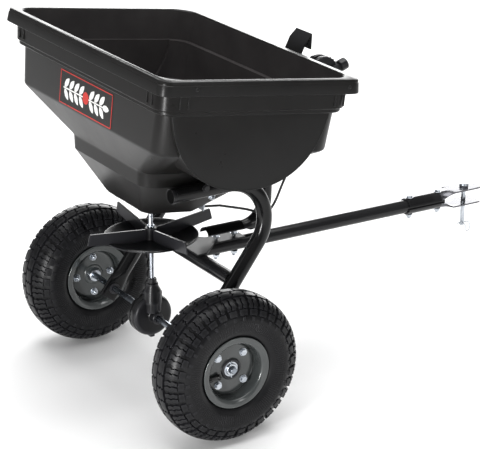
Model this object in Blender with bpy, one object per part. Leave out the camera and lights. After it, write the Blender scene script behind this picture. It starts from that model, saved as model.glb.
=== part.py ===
"""Tow-behind broadcast spreader, modelled piece by piece as closed solids.

Frame: metres, +Y is the towing direction, +X the machine's right-hand side, +Z up.
The ground is Z = 0, X = 0 is the middle of the track and Y = 0 the middle of the overall length.

Most pieces hang from the empty "machine" at the middle of the axle, so their own
coordinates are measured from the axle. The hopper and its control hang from "hopper_rake",
which leans the hopper forward, and the tow tube and hitch from "tow_line", which droops a little.
"""
import math

import bmesh
import bpy
from mathutils import Matrix, Quaternion, Vector

# ---- driving dimensions -------------------------------------------------------------------
GAP = 0.0003                 # what touching pieces keep between their faces
WHEEL_RADIUS = 0.132
TYRE_WIDTH = 0.094
TRACK = 0.490
AXLE_RADIUS = 0.0055
AXLE_HALF = 0.2755
AXLE_Y = -0.2961             # from the middle of the overall length back to the axle
FRAME_TUBE_RADIUS = 0.0135
TOW_TUBE_RADIUS = 0.0127
TUBE_WALL = 0.0016
SIDE_X = 0.150               # side tubes, either side of the middle
CROSS_Y = 0.076              # cross tube, ahead of and above the axle
CROSS_Z = 0.103
SHAFT_RADIUS = 0.004
IMPELLER_Z = 0.142           # underside of the impeller's hub above the axle
PINION_Z = 0.030             # pinion above the axle
PINION_TEETH = 10
CROWN_TEETH = 30
RAKE = math.radians(8.6)
DROOP = math.radians(1.1)
RIM_Z = 0.504                # the hopper's lean is about this height above the axle
HOPPER_Y = 0.0626            # middle of the rim, ahead of the axle
HOPPER_WALL = 0.004
TOW_START_Y = 0.0895
HITCH_PIN_Y = 0.6065         # along the tow tube from its rear end to the hitch pin
PIN_RADIUS = 0.0045
BOLT_RADIUS = 0.003
GATE_TRAVEL = 0.030
CABLE_X = 0.030
CABLE_RADIUS = 0.0023
HOUSING_RADIUS = 0.030
GRIP_OFFSET = 0.0084

# Rounded rectangles up the outside of the hopper, in the leaning frame whose rim is at zero:
# height, half width, half length, middle along Y, corner radius
HOPPER_OUTSIDE = [
    (-0.2825, 0.0730, 0.0510, 0.0434, 0.015),
    (-0.2175, 0.1340, 0.1080, 0.0548, 0.026),
    (-0.1934, 0.1355, 0.1112, 0.0548, 0.026),
    (-0.1284, 0.2545, 0.1663, HOPPER_Y, 0.034),
    (-0.0605, 0.2580, 0.1685, HOPPER_Y, 0.030),
    (-0.0595, 0.2665, 0.1770, HOPPER_Y, 0.032),
    (-0.0520, 0.2668, 0.1773, HOPPER_Y, 0.032),
    (-0.0515, 0.2700, 0.1805, HOPPER_Y, 0.030),
    (-0.0245, 0.2710, 0.1815, HOPPER_Y, 0.030),
    (-0.0240, 0.2830, 0.1922, HOPPER_Y, 0.020),
    (-0.0050, 0.2825, 0.1920, HOPPER_Y, 0.020),
    (0.0, 0.2770, 0.1865, HOPPER_Y, 0.022),
]
HOPPER_INSIDE = [
    (-0.2785, 0.0690, 0.0470, 0.0434, 0.012),
    (-0.2155, 0.1300, 0.1040, 0.0548, 0.022),
    (-0.1910, 0.1312, 0.1070, 0.0548, 0.022),
    (-0.1260, 0.2505, 0.1623, HOPPER_Y, 0.030),
    (-0.0565, 0.2540, 0.1645, HOPPER_Y, 0.028),
    (-0.0555, 0.2625, 0.1730, HOPPER_Y, 0.030),
    (-0.0010, 0.2665, 0.1770, HOPPER_Y, 0.034),
    (0.0020, 0.2680, 0.1785, HOPPER_Y, 0.035),
]
TROUGH_HALF = 0.2625         # bulge along the hopper whose ends are its D-shaped panels
TROUGH_Y = 0.0567
TROUGH_Z = -0.0309
TROUGH_WIDE = 0.1512         # from its middle to its front and rear, and to its bottom
TROUGH_DEEP = 0.1566
TROUGH_FULLNESS = 2.2        # 2 would be a plain ellipse, more is squarer

MATERIALS = {
    "hopper_poly": ((0.020, 0.020, 0.021), 0.42, 0.0),
    "black_paint": ((0.017, 0.017, 0.018), 0.30, 0.0),
    "black_plastic": ((0.022, 0.022, 0.024), 0.45, 0.0),
    "zinc": ((0.62, 0.64, 0.66), 0.32, 1.0),
    "grey_rim": ((0.10, 0.105, 0.11), 0.38, 0.2),
    "tyre_rubber": ((0.018, 0.018, 0.018), 0.85, 0.0),
    "gear_steel": ((0.42, 0.43, 0.45), 0.40, 1.0),
    "bushing_nylon": ((0.70, 0.70, 0.66), 0.55, 0.0),
    "cable_jacket": ((0.012, 0.012, 0.012), 0.50, 0.0),
}


# ---- scene and small helpers ----------------------------------------------------------------
def clear_scene():
    for item in list(bpy.data.objects):
        bpy.data.objects.remove(item, do_unlink=True)


def new_collection(name):
    collection = bpy.data.collections.new(name)
    bpy.context.scene.collection.children.link(collection)
    return collection


def make_materials():
    made = {}
    for name, (colour, roughness, metallic) in MATERIALS.items():
        material = bpy.data.materials.new(name)
        material.use_nodes = True
        shader = material.node_tree.nodes["Principled BSDF"]
        shader.inputs["Base Color"].default_value = (*colour, 1.0)
        shader.inputs["Roughness"].default_value = roughness
        shader.inputs["Metallic"].default_value = metallic
        made[name] = material
    return made


clear_scene()
PARTS = new_collection("broadcast_spreader")
CUTTERS = new_collection("cutters")
PAINT = make_materials()


def empty(name, parent=None, location=(0.0, 0.0, 0.0), tilt=0.0):
    """A frame for other pieces; tilt turns it about its own X axis."""
    frame = bpy.data.objects.new(name, None)
    PARTS.objects.link(frame)
    frame.parent = parent
    frame.location = location
    frame.rotation_euler = (tilt, 0.0, 0.0)
    return frame


def part(name, mesh, material, parent, smooth=False):
    """Put a finished mesh in the assembly as the named piece."""
    obj = bpy.data.objects.new(name, mesh)
    PARTS.objects.link(obj)
    obj.parent = parent
    mesh.materials.clear()
    mesh.materials.append(PAINT[material])
    if smooth:
        mesh.shade_smooth()
        mesh.set_sharp_from_angle(angle=math.radians(35))
    return obj


def cutter(mesh, parent):
    obj = bpy.data.objects.new("cutter", mesh)
    CUTTERS.objects.link(obj)
    obj.parent = parent
    obj.hide_render = True
    obj.display_type = "WIRE"
    return obj


def combine(obj, mesh, operation="DIFFERENCE"):
    """Cut a mesh away from the piece, or join it on, in the piece's own frame."""
    tool = obj.modifiers.new(operation.lower(), "BOOLEAN")
    tool.operation = operation
    tool.solver = "EXACT"
    tool.object = cutter(mesh, obj.parent)
    return obj


def mesh_from(bm, name="shape"):
    bmesh.ops.recalc_face_normals(bm, faces=bm.faces)
    mesh = bpy.data.meshes.new(name)
    bm.to_mesh(mesh)
    bm.free()
    return mesh


def box_mesh(low, high):
    """A box between two opposite corners."""
    low, high = Vector(low), Vector(high)
    bm = bmesh.new()
    bmesh.ops.create_cube(bm, size=1.0)
    bmesh.ops.scale(bm, vec=high - low, verts=bm.verts)
    bmesh.ops.translate(bm, vec=(low + high) / 2, verts=bm.verts)
    return mesh_from(bm)


def rod_mesh(start, end, radius, segments=20, end_radius=None, phase=0.0):
    """A round bar between two points; six segments make a hexagon, phase turns it about itself."""
    start, end = Vector(start), Vector(end)
    bm = bmesh.new()
    bmesh.ops.create_cone(
        bm, cap_ends=True, segments=segments, radius1=radius,
        radius2=radius if end_radius is None else end_radius, depth=(end - start).length)
    turn = Vector((0, 0, 1)).rotation_difference(end - start).to_matrix().to_4x4()
    place = Matrix.Translation((start + end) / 2) @ turn @ Matrix.Rotation(phase, 4, "Z")
    bmesh.ops.transform(bm, matrix=place, verts=bm.verts)
    return mesh_from(bm)


def drill(obj, start, end, radius, segments=16, phase=0.0):
    return combine(obj, rod_mesh(start, end, radius, segments, phase=phase))


def turned_mesh(profile, steps=32, axis="Z", closed=False):
    """Turn a profile of (radius, height) points about an axis; closed joins its ends."""
    bm = bmesh.new()
    points = [bm.verts.new((radius, 0.0, height)) for radius, height in profile]
    edges = [bm.edges.new(pair) for pair in zip(points, points[1:])]
    if closed:
        edges.append(bm.edges.new((points[-1], points[0])))
    bmesh.ops.spin(
        bm, geom=points + edges, cent=(0, 0, 0), axis=(0, 0, 1), angle=math.tau,
        steps=steps, use_merge=True)
    bmesh.ops.remove_doubles(bm, verts=bm.verts, dist=0.00005)
    if axis == "X":
        bmesh.ops.rotate(bm, verts=bm.verts, matrix=Matrix.Rotation(math.pi / 2, 3, "Y"))
    return mesh_from(bm)


def prism_mesh(outline, low, high, axis="Z"):
    """A flat outline of (a, b) points given thickness from low to high along an axis.

    The outline's plane is XY for axis Z, YZ for axis X and XZ for axis Y.
    """
    places = {
        "Z": lambda a, b: (a, b, low),
        "X": lambda a, b: (low, a, b),
        "Y": lambda a, b: (a, low, b),
    }
    reach = {"Z": (0, 0, high - low), "X": (high - low, 0, 0), "Y": (0, high - low, 0)}
    bm = bmesh.new()
    face = bm.faces.new([bm.verts.new(places[axis](a, b)) for a, b in outline])
    grown = bmesh.ops.extrude_face_region(bm, geom=[face])
    moved = [item for item in grown["geom"] if isinstance(item, bmesh.types.BMVert)]
    bmesh.ops.translate(bm, vec=reach[axis], verts=moved)
    return mesh_from(bm)


def tube_mesh(path, radius, ring=12):
    """A round bar along a path of points, from a bevelled curve with filled caps."""
    curve = bpy.data.curves.new("path", "CURVE")
    curve.dimensions = "3D"
    curve.bevel_depth = radius
    curve.bevel_resolution = ring // 2 - 2
    curve.use_fill_caps = True
    spline = curve.splines.new("POLY")
    spline.points.add(len(path) - 1)
    for point, place in zip(spline.points, path):
        point.co = (*place, 1.0)
    holder = bpy.data.objects.new("path", curve)
    mesh = bpy.data.meshes.new_from_object(holder)
    bpy.data.objects.remove(holder)
    bm = bmesh.new()
    bm.from_mesh(mesh)
    bmesh.ops.remove_doubles(bm, verts=bm.verts, dist=0.00002)
    return mesh_from(bm)


def rounded_path(corners, radii, steps=8):
    """Points along straight runs joined by arcs; one radius for each inner corner."""
    corners = [Vector(corner) for corner in corners]
    points = [corners[0]]
    for before, corner, after, radius in zip(corners, corners[1:], corners[2:], radii):
        back = (before - corner).normalized()
        ahead = (after - corner).normalized()
        half = back.angle(ahead) / 2
        centre = corner + (back + ahead).normalized() * (radius / math.sin(half))
        first = corner + back * (radius / math.tan(half)) - centre
        last = corner + ahead * (radius / math.tan(half)) - centre
        turn = first.rotation_difference(last)
        points += [
            centre + Quaternion().slerp(turn, step / steps) @ first for step in range(steps + 1)]
    points.append(corners[-1])
    return points


def smooth_path(places, steps=6):
    """A Catmull-Rom curve through the given places, as points."""
    places = [Vector(place) for place in places]
    padded = [places[0] * 2 - places[1]] + places + [places[-1] * 2 - places[-2]]
    points = []
    for p0, p1, p2, p3 in zip(padded, padded[1:], padded[2:], padded[3:]):
        for step in range(steps):
            t = step / steps
            points.append(
                ((p1 * 2) + (p2 - p0) * t + (p0 * 2 - p1 * 5 + p2 * 4 - p3) * t ** 2
                 + (p1 * 3 - p0 - p2 * 3 + p3) * t ** 3) / 2)
    points.append(places[-1])
    return points


def rounded_rectangle(half_x, half_y, middle_y, radius, steps=5):
    """Corner-rounded rectangle as points, anticlockwise."""
    points = []
    for quarter, (side_x, side_y) in enumerate([(1, 1), (-1, 1), (-1, -1), (1, -1)]):
        centre_x = side_x * (half_x - radius)
        centre_y = middle_y + side_y * (half_y - radius)
        for step in range(steps + 1):
            angle = (quarter + step / steps) * math.pi / 2
            points.append((centre_x + radius * math.cos(angle), centre_y + radius * math.sin(angle)))
    return points


def stacked_mesh(levels):
    """A solid through a stack of rounded rectangles, closed at both ends."""
    bm = bmesh.new()
    loops = []
    for height, half_x, half_y, middle_y, radius in levels:
        ring = [
            bm.verts.new((x, y, height))
            for x, y in rounded_rectangle(half_x, half_y, middle_y, radius)]
        loops.append([bm.edges.new(pair) for pair in zip(ring, ring[1:] + ring[:1])])
    for below, above in zip(loops, loops[1:]):
        bmesh.ops.bridge_loops(bm, edges=below + above)
    for end in (loops[0], loops[-1]):
        bmesh.ops.edgeloop_fill(bm, edges=end)
    return mesh_from(bm)


# ---- fasteners ------------------------------------------------------------------------------
def bolt_mesh(top, bottom, radius, head=None, nut=None):
    """A through bolt from under its head at top to the nut's face at bottom, as one piece.

    head and nut are (radius, height) of the hexagons outside the clamped stack.
    """
    top, bottom = Vector(top), Vector(bottom)
    along = (top - bottom).normalized()
    head_radius, head_height = head or (radius * 1.9, radius * 1.25)
    nut_radius, nut_height = nut or (radius * 1.9, radius * 1.7)
    profile = [
        (0.0, head_height), (head_radius, head_height), (head_radius, 0.0), (radius, 0.0),
        (radius, -(top - bottom).length), (nut_radius, -(top - bottom).length),
        (nut_radius, -(top - bottom).length - nut_height),
        (0.0, -(top - bottom).length - nut_height)]
    mesh = turned_mesh(profile, steps=12)
    turn = Vector((0, 0, 1)).rotation_difference(along).to_matrix().to_4x4()
    mesh.transform(Matrix.Translation(top) @ turn)
    return mesh


# ---- frames that hold the pieces ------------------------------------------------------------
MACHINE = empty("machine", None, (0.0, AXLE_Y, WHEEL_RADIUS))
HOPPER = empty("hopper_rake", MACHINE, (0.0, 0.0, RIM_Z), -RAKE)
TOW = empty("tow_line", MACHINE, (0.0, TOW_START_Y, CROSS_Z), -DROOP)
AXLE = empty("axle_spin", MACHINE)
FREE_WHEEL = empty("free_wheel_spin", MACHINE, (-TRACK / 2, 0.0, 0.0))
SHAFT = empty("shaft_spin", MACHINE)
LEVER_PLACE = (0.0993, 0.3006, -0.0333)
LEVER = empty("lever_pivot", HOPPER, LEVER_PLACE)
GATE = empty("gate_slide", HOPPER)
HITCH_PIN = empty("hitch_pin_lift", TOW, (0.0, HITCH_PIN_Y, 0.0))


TOW_MATRIX = Matrix.Translation((0.0, TOW_START_Y, CROSS_Z)) @ Matrix.Rotation(-DROOP, 4, "X")


def machine_from_hopper(place):
    """A place in the leaning hopper's frame, in the machine's frame."""
    return Matrix.Rotation(-RAKE, 4, "X") @ Vector(place) + Vector((0.0, 0.0, RIM_Z))


def hopper_from_machine(place):
    return Matrix.Rotation(RAKE, 4, "X") @ (Vector(place) - Vector((0.0, 0.0, RIM_Z)))


# ---- wheels ---------------------------------------------------------------------------------
RIM_FLANGE_RADIUS = 0.0635
BEAD_RADIUS = 0.0515
RIM_HALF_WIDTH = 0.039
DISC_OFFSET = 0.0175         # outer face of each rim half's disc from the wheel's middle
RIM_GAUGE = 0.002
HUB_RADIUS = 0.0135
RIM_HOLE_PHASE = 0.1          # keeps the holes' corners off the rim's own edges
WHEEL_BOLT_CIRCLE = 0.035
WHEEL_BOLTS = 4
WHEEL_STEPS = 32
DRIVE_PIN_X = 0.2655


def rim_profile(side):
    """One pressed rim half: flange, bead seat and dished disc, for side +1 or -1 along the axle."""
    inner = BEAD_RADIUS - RIM_GAUGE
    skin = [
        (HUB_RADIUS + GAP, DISC_OFFSET),
        (0.043, DISC_OFFSET),
        (inner, DISC_OFFSET - 0.006),
        (inner, RIM_HALF_WIDTH - 0.003),
        (RIM_FLANGE_RADIUS - 0.003, RIM_HALF_WIDTH),
        (RIM_FLANGE_RADIUS, RIM_HALF_WIDTH - 0.0015),
        (BEAD_RADIUS + 0.001, RIM_HALF_WIDTH - 0.0045),
        (BEAD_RADIUS, GAP),
        (inner, GAP),
        (inner, DISC_OFFSET - 0.0085),
        (0.0425, DISC_OFFSET - RIM_GAUGE),
        (HUB_RADIUS + GAP, DISC_OFFSET - RIM_GAUGE),
    ]
    return [(radius, side * reach) for radius, reach in skin]


def tyre_profile():
    """Section of the hollow tyre: tread, sidewalls, beads and the air space between them."""
    half = TYRE_WIDTH / 2
    bead = BEAD_RADIUS + 0.0015
    outside = [
        (bead, -0.033), (0.0640, -0.0360), (0.0670, -0.0405), (0.086, -half), (0.106, -half),
        (0.125, -half + 0.010), (WHEEL_RADIUS, -0.018)]
    inside = [(0.124, -0.018), (0.110, -0.039), (0.080, -0.039), (bead, -0.027)]
    mirrored = [(radius, -reach) for radius, reach in reversed(outside)]
    mirrored_inside = [(radius, -reach) for radius, reach in reversed(inside)]
    return outside + mirrored + mirrored_inside + inside


def wheel(prefix, parent, middle_x, outward):
    """Tyre, split rim, hub and rim bolts of one wheel; outward is +1 on the right, -1 on the left."""
    def place(mesh):
        mesh.transform(Matrix.Translation((middle_x, 0.0, 0.0)))
        return mesh

    part(prefix + "_tyre", place(turned_mesh(tyre_profile(), WHEEL_STEPS, "X", closed=True)),
         "tyre_rubber", parent, smooth=True)
    bolt_places = [
        (WHEEL_BOLT_CIRCLE * math.cos(angle), WHEEL_BOLT_CIRCLE * math.sin(angle))
        for angle in [math.tau * (index + 0.5) / WHEEL_BOLTS for index in range(WHEEL_BOLTS)]]
    for label, side in (("outer", outward), ("inner", -outward)):
        rim = part(f"{prefix}_rim_{label}",
                   place(turned_mesh(rim_profile(side), WHEEL_STEPS, "X", closed=True)),
                   "grey_rim", parent, smooth=True)
        for y, z in bolt_places:
            drill(rim, (middle_x - 0.03, y, z), (middle_x + 0.03, y, z), BOLT_RADIUS + GAP, 14,
                  RIM_HOLE_PHASE)
    hub_profile = [
        (AXLE_RADIUS + GAP, -0.028), (HUB_RADIUS, -0.028), (HUB_RADIUS, 0.0240),
        (AXLE_RADIUS + GAP, 0.0240)]
    hub_profile = [(radius, reach * outward) for radius, reach in hub_profile]
    hub = part(prefix + "_hub", place(turned_mesh(hub_profile, 24, "X", closed=True)),
               "black_plastic", parent, smooth=True)
    clamp = DISC_OFFSET + GAP
    for index, (y, z) in enumerate(bolt_places, start=1):
        part(f"{prefix}_bolt_{index}",
             bolt_mesh((middle_x + outward * clamp, y, z), (middle_x - outward * clamp, y, z),
                       BOLT_RADIUS, head=(0.0062, 0.0045), nut=(0.0060, 0.005)),
             "zinc", parent)
    return hub


# ---- axle and gears -------------------------------------------------------------------------
CROWN_PITCH_RADIUS = 0.030
CROWN_FACE_X = -0.0125       # root of the crown gear's teeth
CROWN_TOOTH = 0.0034
CROWN_BACK_X = -0.0205
PINION_PITCH_RADIUS = CROWN_PITCH_RADIUS * PINION_TEETH / CROWN_TEETH


def crown_gear_mesh():
    """Disc and boss of the crown gear, bored for the axle."""
    return turned_mesh(
        [(AXLE_RADIUS + GAP, CROWN_BACK_X), (0.0335, CROWN_BACK_X), (0.0335, CROWN_FACE_X),
         (0.0115, CROWN_FACE_X), (0.0115, -0.0070), (AXLE_RADIUS + GAP, -0.0070)],
        CROWN_TEETH, "X", closed=True)


def crown_teeth_mesh():
    """Face teeth pointing along +X; a gap between two of them stands at the top."""
    inner, outer = 0.0262, 0.0332
    bm = bmesh.new()
    pitch = math.tau / CROWN_TEETH
    root_x, tip_x = CROWN_FACE_X - 0.001, CROWN_FACE_X + CROWN_TOOTH
    for index in range(CROWN_TEETH):
        middle = (index + 0.5) * pitch
        corners = []
        for x, share in ((root_x, 0.24), (tip_x, 0.08)):
            for radius, sign in ((inner, -1), (inner, 1), (outer, 1), (outer, -1)):
                angle = middle + sign * share * pitch
                corners.append((x, -radius * math.sin(angle), radius * math.cos(angle)))
        verts = [bm.verts.new(corner) for corner in corners]
        bmesh.ops.convex_hull(bm, input=verts)
    return mesh_from(bm)


def pinion_mesh():
    """Spur pinion about Z with a tooth pointing along -X, into the crown gear's top gap."""
    pitch = math.tau / PINION_TEETH
    outline = []
    for index in range(PINION_TEETH):
        middle = math.pi + index * pitch
        for radius, share in ((0.0078, -0.22), (0.0114, -0.07), (0.0114, 0.07), (0.0078, 0.22)):
            angle = middle + share * pitch
            outline.append((radius * math.cos(angle), radius * math.sin(angle)))
    return prism_mesh(outline, PINION_Z - 0.0042, PINION_Z + 0.0042)


def axle_group():
    axle = part("axle", rod_mesh((-AXLE_HALF, 0, 0), (AXLE_HALF, 0, 0), AXLE_RADIUS, 20),
                "zinc", AXLE, smooth=True)
    crown = part("crown_gear", crown_gear_mesh(), "gear_steel", AXLE)
    combine(crown, crown_teeth_mesh(), "UNION")
    pin_x = -0.0100
    pin_mesh = rod_mesh((pin_x, -0.0125, 0), (pin_x, 0.0125, 0), 0.0010, 8)
    part("crown_gear_pin", pin_mesh, "gear_steel", AXLE)
    for obj in (axle, crown):
        drill(obj, (pin_x, -0.0200, 0), (pin_x, 0.0200, 0), 0.0010 + GAP, 8)
    drive_hub = wheel("drive_wheel", AXLE, TRACK / 2, 1)
    wheel("free_wheel", FREE_WHEEL, 0.0, -1)
    for name, x, reach in (("drive_pin", DRIVE_PIN_X, 0.016), ("axle_end_pin", -0.2718, 0.011)):
        part(name, rod_mesh((x, 0, -reach), (x, 0, reach), 0.0012, 8), "zinc", AXLE)
        drill(axle, (x, 0, -0.02), (x, 0, 0.02), 0.0012 + GAP, 8)
    drill(drive_hub, (DRIVE_PIN_X, 0, -0.02), (DRIVE_PIN_X, 0, 0.02), 0.0012 + GAP, 8)


# ---- gear case ------------------------------------------------------------------------------
CASE_RADIUS = 0.0375
CASE_INSIDE = 0.0345
CASE_LEFT_X = -0.0245
CASE_SPLIT_X = -0.0165
CASE_RIGHT_X = 0.0040


def gearcase():
    """Drum round the crown gear in two halves; the right half carries the pinion's housing."""
    bore = AXLE_RADIUS + GAP
    split = CASE_SPLIT_X
    left = part("gearcase_left", turned_mesh(
        [(0.0, split), (CASE_RADIUS, split), (CASE_RADIUS, CASE_LEFT_X + 0.004),
         (0.0300, CASE_LEFT_X), (0.0105, CASE_LEFT_X - 0.0005), (0.0105, -0.0310), (0.0, -0.0310)],
        32, "X"), "black_plastic", MACHINE, True)
    combine(left, box_mesh((CASE_LEFT_X + 0.003, -0.006, -CASE_RADIUS - 0.006),
                           (split, 0.006, -CASE_INSIDE - 0.0015)), "UNION")
    combine(left, rod_mesh((CASE_LEFT_X + 0.003, 0, 0), (split + 0.01, 0, 0), CASE_INSIDE, 28))
    right = part("gearcase_right", turned_mesh(
        [(0.0, 0.0200), (0.0105, 0.0200), (0.0105, CASE_RIGHT_X + 0.0005), (0.0300, CASE_RIGHT_X),
         (CASE_RADIUS, CASE_RIGHT_X - 0.004), (CASE_RADIUS, split + GAP), (0.0, split + GAP)],
        32, "X"), "black_plastic", MACHINE, True)
    combine(right, box_mesh((split + GAP, -0.006, -CASE_RADIUS - 0.006),
                            (CASE_RIGHT_X - 0.006, 0.006, -CASE_INSIDE - 0.0015)), "UNION")
    combine(right, turned_mesh(
        [(0.0, 0.0720), (0.0085, 0.0720), (0.0085, 0.0560), (0.0160, 0.0470), (0.0160, 0.0090),
         (0.0, 0.0090)], 24), "UNION")
    # the chambers of the two gears and the bore for the upright shaft
    combine(right, rod_mesh((split - 0.01, 0, 0), (CASE_RIGHT_X - 0.0080, 0, 0), CASE_INSIDE, 28))
    combine(right, turned_mesh(
        [(0.0, 0.0800), (SHAFT_RADIUS + GAP, 0.0800), (SHAFT_RADIUS + GAP, 0.0440),
         (0.0132, 0.0440), (0.0132, 0.0117), (0.0, 0.0117)], 20))
    drill(right, (-0.03, 0, 0), (0.03, 0, 0), bore, 20)
    drill(left, (-0.04, 0, 0), (0.03, 0, 0), bore, 20)


# ---- upright shaft, impeller and agitator -----------------------------------------------------
BLADES = 4
DISH_RADIUS = 0.084
BLADE_REACH = 0.125


def impeller():
    """Shallow dish with a hub and four tall blades that reach past its rim."""
    z = IMPELLER_Z
    dish = part("impeller", turned_mesh(
        [(SHAFT_RADIUS + GAP, z + 0.026), (0.0095, z + 0.026), (0.0105, z + 0.004),
         (0.060, z + 0.0075), (DISH_RADIUS - 0.004, z + 0.0115), (DISH_RADIUS, z + 0.0120),
         (DISH_RADIUS, z + 0.0098), (0.060, z + 0.0048), (0.0105, z), (SHAFT_RADIUS + GAP, z)],
        40, "Z", closed=True), "black_plastic", SHAFT, True)
    for index in range(BLADES):
        outline = [(0.0085, z + 0.002), (0.060, z + 0.0062), (BLADE_REACH, z + 0.0165),
                   (BLADE_REACH - 0.005, z + 0.0370), (0.0085, z + 0.0235)]
        blade = prism_mesh(outline, -0.0013, 0.0013, "Y")
        blade.transform(Matrix.Rotation(index * math.tau / BLADES, 4, "Z"))
        combine(dish, blade, "UNION")
    pin_z = z + 0.0285
    part("impeller_pin", rod_mesh((-0.0085, 0, pin_z), (0.0085, 0, pin_z), 0.0010, 8),
         "zinc", SHAFT)
    return pin_z


def shaft_group():
    pin_z = impeller()
    shaft = part("spreader_shaft", rod_mesh((0, 0, 0.0135), (0, 0, 0.2760), SHAFT_RADIUS, 16),
                 "zinc", SHAFT, smooth=True)
    drill(shaft, (-0.02, 0, pin_z), (0.02, 0, pin_z), 0.0010 + GAP, 8)
    pinion = part("pinion_gear", pinion_mesh(), "gear_steel", SHAFT)
    drill(pinion, (0, 0, 0), (0, 0, 0.06), SHAFT_RADIUS + GAP, 16)
    agitator_z = 0.262
    path = rounded_path(
        [(-0.034, 0, agitator_z - 0.017), (-0.022, 0, agitator_z), (0.022, 0, agitator_z),
         (0.034, 0, agitator_z + 0.017)], [0.006, 0.006], 4)
    part("agitator", tube_mesh(path, 0.0018, 8), "zinc", SHAFT)
    drill(shaft, (-0.02, 0, agitator_z), (0.02, 0, agitator_z), 0.0018 + GAP, 8)


# ---- tubular frame ----------------------------------------------------------------------------
def side_tube(name, x):
    """Leg from the axle up and forward, round a wide bend and back under the hopper."""
    top_z = 0.2800
    path = rounded_path(
        [(x, -0.010, -0.013), (x, 0.2149, top_z), (x, -0.0450, top_z)], [0.073], 12)
    tube = part(name, tube_mesh(path, FRAME_TUBE_RADIUS, 16), "black_paint", MACHINE, True)
    # the lower end is pressed flat and pierced for the axle bushing
    flat = 0.0045
    for side in (-1, 1):
        low, high = sorted((x + side * flat, x + side * 0.030))
        combine(tube, box_mesh((low, -0.03, -0.03), (high, 0.030, 0.019)))
    drill(tube, (x - 0.03, 0, 0), (x + 0.03, 0, 0), 0.0085, 20)
    return tube


def frame():
    for name, side in (("frame_tube_right", 1), ("frame_tube_left", -1)):
        x = side * SIDE_X
        side_tube(name, x)
        bushing = "axle_bushing_right" if side > 0 else "axle_bushing_left"
        profile = [
            (AXLE_RADIUS + GAP, -0.0075), (0.0082, -0.0075), (0.0082, 0.0048), (0.0115, 0.0048),
            (0.0115, 0.0075), (AXLE_RADIUS + GAP, 0.0075)]
        mesh = turned_mesh([(radius, side * reach) for radius, reach in profile], 20, "X", True)
        mesh.transform(Matrix.Translation((x, 0, 0)))
        part(bushing, mesh, "bushing_nylon", MACHINE, True)
    reach = SIDE_X - FRAME_TUBE_RADIUS - GAP
    cross = part("cross_tube", turned_mesh(
        [(TOW_TUBE_RADIUS, -reach), (TOW_TUBE_RADIUS, reach), (TOW_TUBE_RADIUS - TUBE_WALL, reach),
         (TOW_TUBE_RADIUS - TUBE_WALL, -reach)], 20, "X", closed=True),
        "black_paint", MACHINE, True)
    cross.location = (0.0, CROSS_Y, CROSS_Z)


# ---- tow tube, front support and hitch ----------------------------------------------------------
GUSSET_TOP = TOW_TUBE_RADIUS + GAP + 0.003
SUPPORT_BOLTS_Y = (0.043, 0.081)
SUPPORT_RADIUS = 0.0127
CLAMP_Y = (0.4495, 0.5505)
CLAMP_BOLTS_Y = (0.4755, 0.5425)
TONGUE_END_Y = 0.6345
TONGUE_HALF = 0.019
TONGUE_GAUGE = 0.003
TOW_LENGTH = 0.552


def tow_tube():
    tube = part("tow_tube", turned_mesh(
        [(TOW_TUBE_RADIUS, 0.0), (TOW_TUBE_RADIUS, TOW_LENGTH),
         (TOW_TUBE_RADIUS - TUBE_WALL, TOW_LENGTH), (TOW_TUBE_RADIUS - TUBE_WALL, 0.0)],
        20, "Z", closed=True), "black_paint", TOW, True)
    tube.rotation_euler = (-math.pi / 2, 0.0, 0.0)
    return tube


def gusset():
    """Flat plate that ties the top of the cross tube to the top of the tow tube."""
    top = TOW_TUBE_RADIUS + GAP
    outline = [(-0.052, -0.026), (0.052, -0.026), (0.052, -0.006), (0.0165, 0.030),
               (0.0165, 0.096), (-0.0165, 0.096), (-0.0165, 0.030), (-0.052, -0.006)]
    return part("gusset_plate", prism_mesh(outline, top, GUSSET_TOP), "black_paint", TOW)


def front_support():
    """Tube from the tow tube up to the hopper's front, its lower end pressed into a trough."""
    axis_z = GUSSET_TOP + GAP + SUPPORT_RADIUS
    lean = math.atan2(0.011, 0.068)
    path = rounded_path(
        [(0, 0.018, axis_z), (0, 0.1440, axis_z), (0, 0.1465, 0.108), (0, 0.1164, 0.232),
         (0, 0.1274, 0.300)], [0.048, 0.080, 0.050], 6)
    tube = part("front_support_tube", tube_mesh(path, SUPPORT_RADIUS, 12), "black_paint", TOW, True)
    inside = SUPPORT_RADIUS - TUBE_WALL
    combine(tube, rod_mesh((0, 0.0, axis_z), (0, 0.090, axis_z), inside, 16))
    combine(tube, box_mesh((-0.02, 0.0, axis_z + 0.0005), (0.02, 0.094, axis_z + 0.02)))
    # the upper end is pressed flat against the hopper's front wall
    for low, high, start in ((-0.030, -0.0042, -0.052), (0.0042, 0.030, -0.030)):
        slab = box_mesh((-0.02, low, start), (0.02, high, 0.040))
        slab.transform(
            Matrix.Translation((0, 0.1234, 0.275)) @ Matrix.Rotation(-lean, 4, "X"))
        combine(tube, slab)
    return tube, axis_z


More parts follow.
